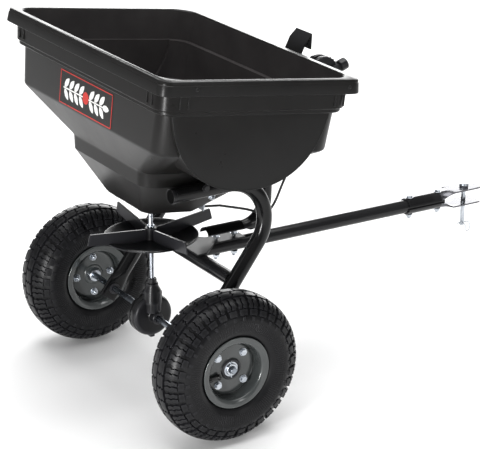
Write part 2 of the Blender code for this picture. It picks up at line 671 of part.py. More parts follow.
def hitch_bracket(name, side):
    """Half saddle over the tow tube that flattens into a tongue; side +1 is the upper one."""
    saddle_inside = TOW_TUBE_RADIUS + GAP
    saddle_outside = saddle_inside + TONGUE_GAUGE
    arc = [math.pi * (0.06 + 0.88 * step / 12) for step in range(13)]
    outline = [(saddle_outside * math.cos(a), saddle_outside * math.sin(a)) for a in arc]
    outline += [(saddle_inside * math.cos(a), saddle_inside * math.sin(a)) for a in reversed(arc)]
    outline = [(x, side * z) for x, z in outline]
    bracket = part(name, prism_mesh(outline, CLAMP_Y[0], CLAMP_Y[1], "Y"), "black_paint", TOW)
    low, high = sorted((side * saddle_inside, side * saddle_outside))
    half = TONGUE_HALF
    tongue = prism_mesh(
        [(-half, CLAMP_Y[1] - 0.004), (half, CLAMP_Y[1] - 0.004), (half, TONGUE_END_Y - 0.008),
         (half - 0.008, TONGUE_END_Y), (-half + 0.008, TONGUE_END_Y), (-half, TONGUE_END_Y - 0.008)],
        low, high)
    combine(bracket, tongue, "UNION")
    drill(bracket, (0, HITCH_PIN_Y, -0.03), (0, HITCH_PIN_Y, 0.03), PIN_RADIUS + 0.0005, 20)
    return bracket


def tow_group():
    tube = tow_tube()
    plate = gusset()
    support, axis_z = front_support()
    floor_z = axis_z - SUPPORT_RADIUS + TUBE_WALL
    for name, y in zip(("support_bolt_rear", "support_bolt_front"), SUPPORT_BOLTS_Y):
        part(name, bolt_mesh((0, y, floor_z + 0.0019), (0, y, -TOW_TUBE_RADIUS - GAP), BOLT_RADIUS),
             "zinc", TOW)
        for obj in (plate, support):
            drill(obj, (0, y, -0.03), (0, y, 0.05), BOLT_RADIUS + GAP, 12)
    clamps = [hitch_bracket("hitch_bracket_upper", 1), hitch_bracket("hitch_bracket_lower", -1)]
    outside = TOW_TUBE_RADIUS + GAP + TONGUE_GAUGE + GAP
    for name, y in zip(("hitch_bolt_rear", "hitch_bolt_front"), CLAMP_BOLTS_Y):
        part(name, bolt_mesh((0, y, outside), (0, y, -outside), BOLT_RADIUS), "zinc", TOW)
        for obj in clamps:
            drill(obj, (0, y, -0.03), (0, y, 0.03), BOLT_RADIUS + GAP, 12)
    for y in SUPPORT_BOLTS_Y + CLAMP_BOLTS_Y:
        drill(tube, (0, y, -0.03), (0, y, 0.03), BOLT_RADIUS + GAP, 12)
    return support


def hitch_pin():
    """Headed pin through both tongues and the spring clip that keeps it in."""
    top = TOW_TUBE_RADIUS + GAP + TONGUE_GAUGE + GAP
    pin = part("hitch_pin", turned_mesh(
        [(0.0, top + 0.006), (0.0075, top + 0.006), (0.0088, top + 0.0045), (0.0088, top),
         (PIN_RADIUS, top), (PIN_RADIUS, -0.0620), (PIN_RADIUS - 0.0012, -0.0640), (0.0, -0.0640)],
        20), "zinc", HITCH_PIN, True)
    clip_z = -0.0585
    wire = 0.0009
    drill(pin, (0, -0.01, clip_z), (0, 0.01, clip_z), wire + GAP, 8)
    path = smooth_path([
        (0.0, -0.0120, clip_z), (0.0, 0.0100, clip_z), (0.0, 0.0180, clip_z - 0.0030),
        (0.0, 0.0205, clip_z - 0.0120), (0.0, 0.0150, clip_z - 0.0200),
        (0.0020, 0.0095, clip_z - 0.0170), (0.0064, 0.0050, clip_z - 0.0060),
        (0.0064, -0.0020, clip_z + 0.0005), (0.0062, -0.0120, clip_z + 0.0035)], 4)
    part("hitch_pin_clip", tube_mesh(path, wire, 8), "zinc", HITCH_PIN)


# ---- hopper -----------------------------------------------------------------------------------
FLOOR_Z = HOPPER_OUTSIDE[0][0]
FLOOR_Y = HOPPER_OUTSIDE[0][3]
PORT_INNER_X = 0.0100
PORT_OUTER_X = 0.0330
PORT_HALF_Y = 0.0085
PORT_Y = FLOOR_Y - 0.0265
GATE_TOP = FLOOR_Z - 0.0005
GATE_GAUGE = 0.0016
ANCHOR_Y = 0.1300
CABLE_START_Z = GATE_TOP - 0.0060


def trough_outline(inset, top):
    """The part of a full-sided ellipse below a level, as points in the YZ plane."""
    wide, deep = TROUGH_WIDE - inset, TROUGH_DEEP - inset
    start = math.asin(((TROUGH_Z - top) / deep) ** (TROUGH_FULLNESS / 2))
    power = 2 / TROUGH_FULLNESS
    outline = []
    for step in range(37):
        angle = start + (math.pi - 2 * start) * step / 36
        across = math.copysign(abs(math.cos(angle)) ** power, math.cos(angle))
        outline.append((TROUGH_Y - wide * across, TROUGH_Z - deep * math.sin(angle) ** power))
    return outline


def hopper():
    """Stepped funnel joined with a rounded trough, hollowed by the same two shapes inside."""
    shell = part("hopper", stacked_mesh(HOPPER_OUTSIDE), "hopper_poly", HOPPER, True)
    combine(shell, prism_mesh(trough_outline(0.0, -0.0600),
                              -TROUGH_HALF, TROUGH_HALF, "X"), "UNION")
    combine(shell, stacked_mesh(HOPPER_INSIDE))
    inner_half = TROUGH_HALF - HOPPER_WALL
    combine(shell, prism_mesh(trough_outline(HOPPER_WALL, -0.0550),
                              -inner_half, inner_half, "X"))
    for low, high in ((-PORT_OUTER_X, -PORT_INNER_X), (PORT_INNER_X, PORT_OUTER_X)):
        combine(shell, box_mesh((low, PORT_Y - PORT_HALF_Y, FLOOR_Z - 0.01),
                                (high, PORT_Y + PORT_HALF_Y, FLOOR_Z + 0.01)))
    place = hopper_from_machine((0.0, 0.0, machine_from_hopper((0, FLOOR_Y, FLOOR_Z)).z))
    drill(shell, (0, place.y, FLOOR_Z - 0.01), (0, place.y, FLOOR_Z + 0.01), 0.0085 + GAP, 20)
    return shell, place.y


def shaft_bushing(shaft_y):
    """Flanged bushing in the hopper floor, bored upright for the shaft."""
    bushing = part("hopper_shaft_bushing", turned_mesh(
        [(0.0, 0.0100), (0.0120, 0.0100), (0.0120, 0.0043), (0.0085, 0.0043),
         (0.0085, 0.0002), (0.0, 0.0002)], 20), "bushing_nylon", HOPPER, True)
    bushing.location = (0.0, shaft_y, FLOOR_Z)
    low = hopper_from_machine((0, 0, machine_from_hopper((0, shaft_y, FLOOR_Z)).z - 0.03))
    high = hopper_from_machine((0, 0, machine_from_hopper((0, shaft_y, FLOOR_Z)).z + 0.03))
    drill(bushing, low, high, SHAFT_RADIUS + 0.0004, 16)


def gate(shaft_y):
    """Sliding plate under the floor with its pull rod, running in two guides."""
    low = GATE_TOP - GATE_GAUGE
    front = FLOOR_Y + 0.052
    plate = part("gate_plate", box_mesh((-0.040, FLOOR_Y - 0.047, low), (0.040, front, GATE_TOP)),
                 "zinc", GATE)
    combine(plate, box_mesh((CABLE_X - 0.006, front - 0.0018, low - 0.009),
                            (CABLE_X + 0.006, front, GATE_TOP - 0.0004)), "UNION")
    combine(plate, rod_mesh((CABLE_X, front - 0.0010, CABLE_START_Z),
                            (CABLE_X, ANCHOR_Y + 0.004, CABLE_START_Z), 0.0008, 8), "UNION")
    slot_half = 0.0065
    combine(plate, box_mesh((-slot_half, shaft_y - slot_half - GATE_TRAVEL, low - 0.02),
                            (slot_half, shaft_y + slot_half, GATE_TOP + 0.01)))
    for name, side in (("gate_guide_right", 1), ("gate_guide_left", -1)):
        outline = [(0.0405, GATE_TOP + 0.0002), (0.0480, GATE_TOP + 0.0002), (0.0480, low - 0.0020),
                   (0.0360, low - 0.0020), (0.0360, low - 0.0004), (0.0405, low - 0.0004)]
        outline = [(side * x, z) for x, z in outline]
        part(name, prism_mesh(outline, FLOOR_Y - 0.045, FLOOR_Y + 0.045, "Y"), "zinc", HOPPER)


def cable_anchor():
    """Bracket on the funnel's front that stops the cable's jacket and lets the rod through."""
    low = CABLE_START_Z - 0.0060
    outline = [(ANCHOR_Y, low), (ANCHOR_Y + 0.0022, low), (ANCHOR_Y + 0.0022, -0.2496),
               (0.1120, -0.2696), (0.1120, -0.2725), (ANCHOR_Y, -0.2535)]
    anchor = part("cable_anchor", prism_mesh(outline, CABLE_X - 0.008, CABLE_X + 0.008, "X"),
                  "zinc", HOPPER)
    drill(anchor, (CABLE_X, 0.10, CABLE_START_Z), (CABLE_X, 0.15, CABLE_START_Z), 0.0012, 8)


def control_cable():
    """Jacketed cable from the anchor, forward and up to the underside of the control."""
    start = Vector((CABLE_X, ANCHOR_Y + 0.0025, CABLE_START_Z))
    bore_end = start + Vector((0.0, 0.034, 0.0))
    straight = start + Vector((0.0, 0.036, 0.0))
    swing = [(0.044, 0.170, 0.181), (0.062, 0.196, 0.174), (0.079, 0.206, 0.196),
             (0.088, 0.224, 0.245), (0.094, 0.259, 0.308), (0.098, 0.282, 0.362)]
    finish = Vector(LEVER_PLACE) + Vector((-0.005, 0.0, -HOUSING_RADIUS - GAP))
    path = [start] + smooth_path(
        [straight] + [hopper_from_machine(place) for place in swing]
        + [finish - Vector((0.0, 0.0, 0.012)), finish], 4)
    cable = part("control_cable", tube_mesh(path, CABLE_RADIUS, 8), "cable_jacket", HOPPER, True)
    drill(cable, start - Vector((0.0, 0.01, 0.0)), bore_end, 0.0012, 8)


# ---- control on the front of the rim ----------------------------------------------------------
def sector(radius, first, last, steps=10):
    """A pie slice about the origin as (y, z) points, angles in degrees from +Y."""
    angles = [math.radians(first + (last - first) * step / steps) for step in range(steps + 1)]
    return [(0.0, 0.0)] + [(radius * math.cos(a), radius * math.sin(a)) for a in angles]


def hook_bracket():
    """Bent strap: a foot on the rim, a hook that stands above it and an ear for the control."""
    rim_front = HOPPER_Y + 0.1922 + GAP
    gauge = 0.0025
    outer = [(rim_front + gauge, -0.0283), (rim_front + gauge, -0.0146), (0.2878, -0.0146),
             (0.2955, 0.0084), (0.3032, 0.0207), (0.3055, -0.0038)]
    inner = [(0.3080, -0.0038), (0.3057, 0.0242), (0.2932, 0.0098), (0.2857, -0.0121),
             (rim_front, -0.0121), (rim_front, -0.0283)]
    strap = part("control_hook_bracket", prism_mesh(outer + inner, -0.0023, 0.0477, "X"),
                 "black_paint", HOPPER)
    combine(strap, box_mesh((0.0365, 0.2820, -0.0300), (0.0803, 0.2880, -0.0112)), "UNION")
    combine(strap, box_mesh((0.0753, 0.2820, -0.0427), (0.0803, 0.3080, -0.0207)), "UNION")
    return strap


def control(strap):
    """Round housing with a slotted top, the lever and grip on its side and the flow stop in it."""
    x, y, z = LEVER_PLACE
    at = Matrix.Translation(LEVER_PLACE)

    def here(mesh):
        mesh.transform(at)
        return mesh

    housing = part("control_housing", here(turned_mesh(
        [(0.0, -0.0185), (HOUSING_RADIUS - 0.003, -0.0185), (HOUSING_RADIUS, -0.0155),
         (HOUSING_RADIUS, 0.0030), (HOUSING_RADIUS - 0.003, 0.0060), (0.0, 0.0060)], 28, "X")),
        "black_plastic", HOPPER, True)
    combine(housing, here(rod_mesh((-0.0090, 0, 0), (-0.0030, 0, 0), 0.0125, 20)))
    combine(housing, here(prism_mesh(sector(0.040, 20, 150), -0.0090, -0.0030, "X")))
    drill(housing, (x - 0.03, y, z), (x + 0.02, y, z), BOLT_RADIUS + GAP, 12)
    drill(strap, (0.0700, y, z), (0.0850, y, z), BOLT_RADIUS + GAP, 12)

    stop = part("flow_stop", rod_mesh((-0.0085, 0, 0), (-0.0035, 0, 0), 0.0115, 20),
                "black_plastic", LEVER)
    finger = box_mesh((-0.0085, -0.0040, 0.0), (-0.0035, 0.0040, 0.0360))
    finger.transform(Matrix.Rotation(math.radians(40), 4, "X"))
    combine(stop, finger, "UNION")
    drill(stop, (-0.03, 0, 0), (0.03, 0, 0), BOLT_RADIUS + GAP, 12)

    lever = part("control_lever", rod_mesh((0.0065, 0, 0), (0.0110, 0, 0), 0.0130, 20),
                 "black_plastic", LEVER)
    arm_angle = Matrix.Rotation(math.radians(26), 4, "X")
    arm = box_mesh((0.0065, 0.0, -0.0060), (0.0110, 0.0307, 0.0060))
    spindle = rod_mesh((GRIP_OFFSET, 0.0301, 0.0), (GRIP_OFFSET, 0.0403, 0.0), 0.0045, 12)
    for mesh in (arm, spindle):
        mesh.transform(arm_angle)
        combine(lever, mesh, "UNION")
    drill(lever, (-0.03, 0, 0), (0.03, 0, 0), BOLT_RADIUS + GAP, 12)

    inner = 0.0045 + GAP
    grip_mesh = turned_mesh(
        [(0.0, 0.0460), (0.0085, 0.0460), (0.0105, 0.0438), (0.0108, 0.0345), (0.0095, 0.0312),
         (inner, 0.0312), (inner, 0.0406), (0.0, 0.0406)], 20)
    grip_mesh.transform(
        arm_angle @ Matrix.Translation((GRIP_OFFSET, 0, 0)) @ Matrix.Rotation(-math.pi / 2, 4, "X"))
    part("lever_grip", grip_mesh, "black_plastic", LEVER, True)

    part("lever_pivot_bolt", bolt_mesh((x + 0.0115, y, z), (0.0748, y, z), BOLT_RADIUS),
         "zinc", HOPPER)


def hopper_bolts(shell, support):
    """Bolts that hold the hopper to the side tubes and to the front support tube."""
    side_y, side_z = 0.0480, -0.2118
    for name, side in (("hopper_bolt_right", 1), ("hopper_bolt_left", -1)):
        tube = bpy.data.objects["frame_tube_right" if side > 0 else "frame_tube_left"]
        head_x = SIDE_X + FRAME_TUBE_RADIUS + GAP
        part(name, bolt_mesh((side * head_x, side_y, side_z), (side * 0.1274, side_y, side_z),
                             BOLT_RADIUS), "zinc", HOPPER)
        drill(shell, (side * 0.10, side_y, side_z), (side * 0.15, side_y, side_z),
              BOLT_RADIUS + GAP, 12)
        low = machine_from_hopper((side * 0.12, side_y, side_z))
        high = machine_from_hopper((side * 0.18, side_y, side_z))
        drill(tube, low, high, BOLT_RADIUS + GAP, 12)
    front_y, front_z = HOPPER_Y + 0.1669, -0.0900
    outside = Vector((0.0, front_y + 0.0115, front_z))
    inside = Vector((0.0, front_y - 0.0048, front_z))
    part("hopper_front_bolt", bolt_mesh(outside, inside, BOLT_RADIUS), "zinc", HOPPER)
    drill(shell, outside, inside + Vector((0.0, -0.02, 0.0)), BOLT_RADIUS + GAP, 12)
    to_tow = TOW_MATRIX.inverted()
    ends = [to_tow @ machine_from_hopper((0.0, front_y + reach, front_z)) for reach in (-0.02, 0.03)]
    drill(support, ends[0], ends[1], BOLT_RADIUS + GAP, 12)


def build():
    axle_group()
    gearcase()
    shaft_group()
    frame()
    support = tow_group()
    hitch_pin()
    shell, shaft_y = hopper()
    shaft_bushing(shaft_y)
    gate(shaft_y)
    cable_anchor()
    control_cable()
    control(hook_bracket())
    hopper_bolts(shell, support)


build()
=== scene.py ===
"""Looks of the tow-behind broadcast spreader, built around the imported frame.

Metres, +Y forward, +X right, +Z up. Most shapes are made in the frame of the axle's middle
("machine"), the hopper and control in a frame that leans forward with the rim at its zero,
and the tow tube and hitch in one that droops a little.
"""
import math

import bmesh
import bpy
from mathutils import Matrix, Quaternion, Vector


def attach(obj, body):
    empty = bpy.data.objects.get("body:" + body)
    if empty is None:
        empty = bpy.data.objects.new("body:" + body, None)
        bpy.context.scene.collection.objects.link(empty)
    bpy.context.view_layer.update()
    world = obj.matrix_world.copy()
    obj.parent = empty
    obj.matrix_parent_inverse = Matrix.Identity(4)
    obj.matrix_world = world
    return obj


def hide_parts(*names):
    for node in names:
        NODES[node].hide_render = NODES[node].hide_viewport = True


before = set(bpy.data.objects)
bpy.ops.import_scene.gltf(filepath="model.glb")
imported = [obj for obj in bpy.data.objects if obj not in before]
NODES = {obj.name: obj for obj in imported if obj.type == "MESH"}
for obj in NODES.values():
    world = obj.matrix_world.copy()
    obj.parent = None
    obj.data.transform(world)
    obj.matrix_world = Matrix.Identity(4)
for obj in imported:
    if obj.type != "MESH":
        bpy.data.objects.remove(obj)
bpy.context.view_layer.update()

# ---- places shared with the CAD ----
AXLE_Y = -0.2961
WHEEL_RADIUS = 0.132
TRACK = 0.49
RIM_Z = 0.504
RAKE = 8.6                     # degrees, front down
DROOP = 1.1
TOW_START_Y = 0.0895
CROSS_Z = 0.103
HOPPER_Y = 0.0626
SIDE_X = 0.15
TOW_RADIUS = 0.0127
LEVER_PLACE = Vector((0.0993, 0.3006, -0.0333))


def shift(*place):
    return Matrix.Translation(place)


def spin(degrees, axis="X"):
    return Matrix.Rotation(math.radians(degrees), 4, axis)


MACHINE = shift(0.0, AXLE_Y, WHEEL_RADIUS)
HOPPER = MACHINE @ shift(0.0, 0.0, RIM_Z) @ spin(-RAKE)
TOW = MACHINE @ shift(0.0, TOW_START_Y, CROSS_Z) @ spin(-DROOP)


# ---- materials ----
COAT_ROUGHNESS = 0.12


def grey(value):
    return value, value, value


def nodes_of(material):
    material.use_nodes = True
    tree = material.node_tree
    return tree, tree.nodes["Principled BSDF"]


def add_node(tree, kind, links, settings):
    """New shader node with its inputs linked or set; gives its outputs."""
    node = tree.nodes.new("ShaderNode" + kind)
    for name, value in settings.items():
        node.inputs[name].default_value = value
    for name, source in links.items():
        tree.links.new(source, node.inputs[name])
    return node.outputs


def noise_node(tree, scale, detail, stretch=None, rough=0.6):
    """Noise in the piece's own metres; stretch draws it out along an axis."""
    source = tree.nodes.new("ShaderNodeTexCoord").outputs["Object"]
    if stretch:
        source = add_node(tree, "Mapping", {"Vector": source}, {"Scale": stretch})["Vector"]
    return add_node(tree, "TexNoise", {"Vector": source}, {
        "Scale": scale, "Detail": detail, "Roughness": rough})["Fac"]


def spread(tree, source, low, high, start=0.3, end=0.7):
    """Map a noise onto a range of numbers."""
    return add_node(tree, "MapRange", {"Value": source}, {
        "From Min": start, "From Max": end, "To Min": low, "To Max": high})["Result"]


def tint(tree, source, colours):
    """Colour ramp between two colours."""
    ramp = tree.nodes.new("ShaderNodeValToRGB")
    for element, colour, stop in zip(ramp.color_ramp.elements, colours, (0.35, 0.65)):
        element.position = stop
        element.color = (*colour, 1.0)
    tree.links.new(source, ramp.inputs["Fac"])
    return ramp.outputs["Color"]


def mixed(tree, factor, first, second):
    node = tree.nodes.new("ShaderNodeMix")
    node.data_type = "RGBA"
    tree.links.new(factor, node.inputs["Factor"])
    tree.links.new(first, node.inputs["A"])
    tree.links.new(second, node.inputs["B"])
    return node.outputs["Result"]


def bumped(tree, shader, layers):
    """Stack bumps of (height source, distance, strength)."""
    links = {}
    for height, distance, strength in layers:
        links["Height"] = height
        outputs = add_node(tree, "Bump", links, {"Distance": distance, "Strength": strength})
        links["Normal"] = outputs["Normal"]
    tree.links.new(links["Normal"], shader.inputs["Normal"])


def edge_mask(tree):
    """Where the surface is sharply convex, for worn edges."""
    geometry = tree.nodes.new("ShaderNodeNewGeometry")
    return spread(tree, geometry.outputs["Pointiness"], 0.0, 1.0, 0.505, 0.56)


def make_material(name, dark, light, roughness, metallic=0.0, patch=14.0, grain=900.0,
                  grain_depth=0.00005, grain_strength=0.35, edge=None, coat=0.0, stretch=None,
                  specular=0.5):
    """Two-tone surface with patches, fine grain, uneven gloss and optional paler edges."""
    material = bpy.data.materials.new(name)
    tree, shader = nodes_of(material)
    shader.inputs["Metallic"].default_value = metallic
    shader.inputs["Specular IOR Level"].default_value = specular
    if coat:
        shader.inputs["Coat Weight"].default_value = coat
        shader.inputs["Coat Roughness"].default_value = COAT_ROUGHNESS
    patches = noise_node(tree, patch, 6.0)
    fine = noise_node(tree, grain, 3.0, stretch)
    colour = tint(tree, patches, (dark, light))
    if edge:
        edge_colour = tint(tree, fine, (edge, edge))
        colour = mixed(tree, edge_mask(tree), colour, edge_colour)
    tree.links.new(colour, shader.inputs["Base Color"])
    low, high = roughness
    tree.links.new(spread(tree, patches, low, high), shader.inputs["Roughness"])
    bumped(tree, shader, [(fine, grain_depth, grain_strength), (patches, 0.0004, 0.06)])
    return material


PAINT = {
    "hopper_poly": make_material(
        "moulded_hopper_plastic", (0.0075, 0.0071, 0.0069), (0.0105, 0.01, 0.0096), (0.27, 0.35),
        grain=1500.0, grain_strength=0.2, edge=grey(0.014), specular=0.16),
    # paler copy of the hopper plastic for the inner walls: painted light
    "hopper_inside_painted_light": make_material(
        "moulded_hopper_painted_light_inside", (0.03, 0.0275, 0.028), (0.04, 0.037, 0.037), (0.34, 0.44),
        grain=1500.0, grain_strength=0.2, specular=0.2),
    "black_paint": make_material(
        "gloss_black_powder_coat", (0.0026, 0.0026, 0.0028), (0.005, 0.005, 0.0052),
        (0.12, 0.2), grain=420.0, grain_strength=0.1, edge=(0.013, 0.013, 0.014), specular=0.26),
    "black_plastic": make_material(
        "satin_black_plastic", (0.0065, 0.0065, 0.0075), (0.0105, 0.0105, 0.012), (0.28, 0.38),
        grain=1300.0, grain_strength=0.22, edge=(0.022, 0.022, 0.025), specular=0.3),
    "zinc": make_material(
        "zinc_plate", (0.4, 0.43, 0.47), (0.56, 0.59, 0.63), (0.22, 0.34), metallic=1.0,
        patch=60.0, grain=500.0, grain_strength=0.08, stretch=(1.0, 1.0, 0.12)),
    "axle_steel": make_material(
        "plated_axle_steel", (0.2, 0.22, 0.25), (0.3, 0.33, 0.37), (0.22, 0.34), metallic=1.0,
        patch=40.0, grain=500.0, grain_strength=0.1),
    "shaft_steel": make_material(
        "drawn_shaft_steel", (0.34, 0.36, 0.4), (0.42, 0.44, 0.48), (0.24, 0.3), metallic=1.0,
        patch=16.0, grain=240.0, grain_strength=0.04),
    "bright_bracket": make_material(
        "plated_bracket", (0.095, 0.095, 0.104), (0.13, 0.13, 0.142), (0.22, 0.32), metallic=0.9,
        patch=50.0, grain=600.0, grain_strength=0.1),
    "grey_rim": make_material(
        "dark_grey_rim_paint", (0.04, 0.044, 0.044), (0.054, 0.059, 0.059), (0.11, 0.19),
        metallic=0.15, grain=520.0, grain_strength=0.06, edge=(0.1, 0.11, 0.11), coat=0.35),
    "tyre_rubber": make_material(
        "tyre_rubber", (0.0036, 0.0036, 0.0041), (0.007, 0.007, 0.0078), (0.26, 0.42),
        patch=38.0, grain=1100.0, grain_depth=0.00008, grain_strength=0.3,
        edge=(0.015, 0.015, 0.017), specular=0.2),
    "gear_steel": make_material(
        "gear_steel", (0.25, 0.25, 0.26), (0.45, 0.45, 0.47), (0.28, 0.45), metallic=1.0),
    "bushing_nylon": make_material(
        "nylon", (0.42, 0.42, 0.38), (0.58, 0.58, 0.53), (0.4, 0.55), grain=800.0),
    "cable_jacket": make_material(
        "cable_jacket", grey(0.0045), grey(0.008), (0.26, 0.36),
        grain=900.0, grain_strength=0.15),
    "gusset_paint": make_material(
        "satin_black_powder_coat", (0.0035, 0.0035, 0.0038), (0.006, 0.006, 0.0064),
        (0.3, 0.4), grain=420.0, grain_strength=0.1, edge=(0.016, 0.016, 0.017),
        specular=0.12),
    # near-black matt material for painted shade: tube hollows and the crushed trough
    "painted_shade_black": make_material(
        "painted_shade_black", grey(0.002), grey(0.0035), (0.6, 0.8),
        grain=500.0, grain_strength=0.2, specular=0.02),
}
for name, dark, light, gloss in (
        ("label_field", (0.004, 0.0038, 0.0036), (0.006, 0.0058, 0.0055), (0.2, 0.28)),
        ("label_border", (0.46, 0.02, 0.014), (0.56, 0.028, 0.02), (0.25, 0.35)),
        ("label_motif", (0.8, 0.8, 0.78), (0.88, 0.88, 0.86), (0.28, 0.36))):
    PAINT[name] = make_material(name, dark, light, gloss, grain=300.0, grain_strength=0.05)


# ---- mesh helpers ----
def mesh_from(bm, name="shape"):
    bmesh.ops.recalc_face_normals(bm, faces=bm.faces)
    mesh = bpy.data.meshes.new(name)
    bm.to_mesh(mesh)
    bm.free()
    return mesh


def add_object(name, data):
    obj = bpy.data.objects.new(name, data)
    bpy.context.scene.collection.objects.link(obj)
    return obj


def piece(name, mesh, material, body, at=MACHINE, stands_for=(), smooth=35.0, bevel=0.0,
          segments=2, bevel_angle=30.0):
    """Add a finished piece: its mesh goes to its place, it rides its body and may replace nodes."""
    mesh.transform(at)
    mesh.materials.clear()
    mesh.materials.append(PAINT[material])
    obj = add_object(name, mesh)
    mesh.shade_smooth()
    if bevel:
        tool = obj.modifiers.new("edges", "BEVEL")
        tool.width = bevel
        tool.segments = segments
        tool.limit_method = "ANGLE"
        tool.angle_limit = math.radians(bevel_angle)
        tool.harden_normals = True
    else:
        mesh.set_sharp_from_angle(angle=math.radians(smooth))
    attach(obj, body)
    if stands_for:
        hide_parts(*stands_for)
    return obj


def joined(*meshes):
    """Several meshes as one."""
    bm = bmesh.new()
    for mesh in meshes:
        bm.from_mesh(mesh)
    return mesh_from(bm)


def moved(mesh, matrix):
    mesh.transform(matrix)
    return mesh


def skin_round(bm, rings, closed):
    """Faces between rows all the way round; closed joins the two ends of every row."""
    count = len(rings[0])
    for here, there in zip(rings, rings[1:] + rings[:1]):
        for i in range(count if closed else count - 1):
            j = (i + 1) % count
            bm.faces.new((here[i], there[i], there[j], here[j]))


def skin_along(bm, rings):
    """Solid through a row of closed rings, capped at both ends."""
    for here, there in zip(rings, rings[1:]):
        for k in range(len(here)):
            n = (k + 1) % len(here)
            bm.faces.new((here[k], here[n], there[n], there[k]))
    bm.faces.new(rings[0])
    bm.faces.new(rings[-1])
    return mesh_from(bm)


def turned(bm, profile, angle):
    """One row of vertices: (radius, height) points at an angle about Z."""
    return [bm.verts.new((r * math.cos(angle), r * math.sin(angle), h)) for r, h in profile]


def lathe(profile, steps=64, axis="Z", closed=False):
    """Turn (radius, height) points about an axis; closed joins the profile's ends."""
    bm = bmesh.new()
    rings = []
    for step in range(steps):
        rings.append(turned(bm, profile, math.tau * step / steps))
    skin_round(bm, rings, closed)
    bmesh.ops.remove_doubles(bm, verts=bm.verts, dist=0.000004)
    bmesh.ops.dissolve_degenerate(bm, dist=0.000002, edges=bm.edges)
    if axis == "X":
        bmesh.ops.rotate(bm, verts=bm.verts, matrix=Matrix.Rotation(math.pi / 2, 3, "Y"))
    if axis == "Y":
        bmesh.ops.rotate(bm, verts=bm.verts, matrix=Matrix.Rotation(-math.pi / 2, 3, "X"))
    return mesh_from(bm)


def box(low, high):
    low, high = Vector(low), Vector(high)
    bm = bmesh.new()
    bmesh.ops.create_cube(bm, size=1.0)
    bmesh.ops.scale(bm, vec=high - low, verts=bm.verts)
    bmesh.ops.translate(bm, vec=(low + high) / 2, verts=bm.verts)
    return mesh_from(bm)


def aimed(start, end):
    """Matrix that carries +Z at the origin onto the line from start to end."""
    start, end = Vector(start), Vector(end)
    turn = Vector((0, 0, 1)).rotation_difference(end - start).to_matrix().to_4x4()
    return Matrix.Translation(start) @ turn


def rod(start, end, radius, segments=32):
    length = (Vector(end) - Vector(start)).length
    edge = min(radius * 0.18, length * 0.2)
    profile = [(0.0, 0.0), (radius - edge, 0.0), (radius, edge), (radius, length - edge),
               (radius - edge, length), (0.0, length)]
    return moved(lathe(profile, segments), aimed(start, end))


def prism(outline, low, high, axis="Z"):
    """Flat outline given thickness; its plane is XY for Z, YZ for X and XZ for Y."""
    places = {
        "Z": lambda a, b: (a, b, low),
        "X": lambda a, b: (low, a, b),
        "Y": lambda a, b: (a, low, b),
    }
    reach = {"Z": (0, 0, high - low), "X": (high - low, 0, 0), "Y": (0, high - low, 0)}
    bm = bmesh.new()
    face = bm.faces.new([bm.verts.new(places[axis](a, b)) for a, b in outline])
    grown = bmesh.ops.extrude_face_region(bm, geom=[face])
    tops = [item for item in grown["geom"] if isinstance(item, bmesh.types.BMVert)]
    bmesh.ops.translate(bm, vec=reach[axis], verts=tops)
    return mesh_from(bm)


def rounded_path(corners, radii, steps=14):
    """Points along straight runs joined by arcs; one radius for each inner corner."""
    corners = [Vector(corner) for corner in corners]
    points = [corners[0]]
    for before, corner, after, radius in zip(corners, corners[1:], corners[2:], radii):
        back = (before - corner).normalized()
        ahead = (after - corner).normalized()
        half = back.angle(ahead) / 2
        centre = corner + (back + ahead).normalized() * (radius / math.sin(half))
        first = corner + back * (radius / math.tan(half)) - centre
        last = corner + ahead * (radius / math.tan(half)) - centre
        turn = first.rotation_difference(last)
        points += [
            centre + Quaternion().slerp(turn, step / steps) @ first for step in range(steps + 1)]
    points.append(corners[-1])
    return points


def smooth_path(places, steps=8):
    """A Catmull-Rom curve through the given places."""
    places = [Vector(place) for place in places]
    padded = [places[0] * 2 - places[1]] + places + [places[-1] * 2 - places[-2]]
    points = []
    for p0, p1, p2, p3 in zip(padded, padded[1:], padded[2:], padded[3:]):
        for step in range(steps):
            t = step / steps
            points.append(
                ((p1 * 2) + (p2 - p0) * t + (p0 * 2 - p1 * 5 + p2 * 4 - p3) * t ** 2
                 + (p1 * 3 - p0 - p2 * 3 + p3) * t ** 3) / 2)
    points.append(places[-1])
    return points


def soft_profile(points):
    """(radius, height) points of a turned shape, drawn out to a smooth curve."""
    return [(p.x, p.y) for p in smooth_path([(r, h, 0.0) for r, h in points], 4)]


def resampled(points, gap):
    """The same path with points an even gap apart."""
    lengths = [0.0]
    for a, b in zip(points, points[1:]):
        lengths.append(lengths[-1] + (b - a).length)
    count = max(2, round(lengths[-1] / gap))
    result, index = [], 0
    for step in range(count + 1):
        target = lengths[-1] * step / count
        while index < len(lengths) - 2 and lengths[index + 1] < target:
            index += 1
        span = lengths[index + 1] - lengths[index]
        share = (target - lengths[index]) / span if span else 0.0
        result.append(points[index].lerp(points[index + 1], share))
    return result


def sweep(path, section, side=Vector((1, 0, 0)), sides=28):
    """Carry a section along a path; section(distance, length, angle) gives (across, out)."""
    total = sum((b - a).length for a, b in zip(path, path[1:]))
    bm = bmesh.new()
    rings, travelled = [], 0.0
    for i, point in enumerate(path):
        if i:
            travelled += (point - path[i - 1]).length
        ahead = (path[min(i + 1, len(path) - 1)] - path[max(i - 1, 0)]).normalized()
        across = (side - ahead * side.dot(ahead)).normalized()
        out = ahead.cross(across)
        ring = []
        for k in range(sides):
            a, b = section(travelled, total, math.tau * k / sides)
            ring.append(bm.verts.new(point + across * a + out * b))
        rings.append(ring)
    return skin_along(bm, rings)


def round_section(radius):
    return lambda travelled, total, angle: (radius * math.cos(angle), radius * math.sin(angle))


def ease(value):
    value = max(0.0, min(1.0, value))
    return value * value * (3 - 2 * value)


# ---- fasteners ----
BOLT_RADIUS = 0.003
WASHER_GAUGE = 0.0009


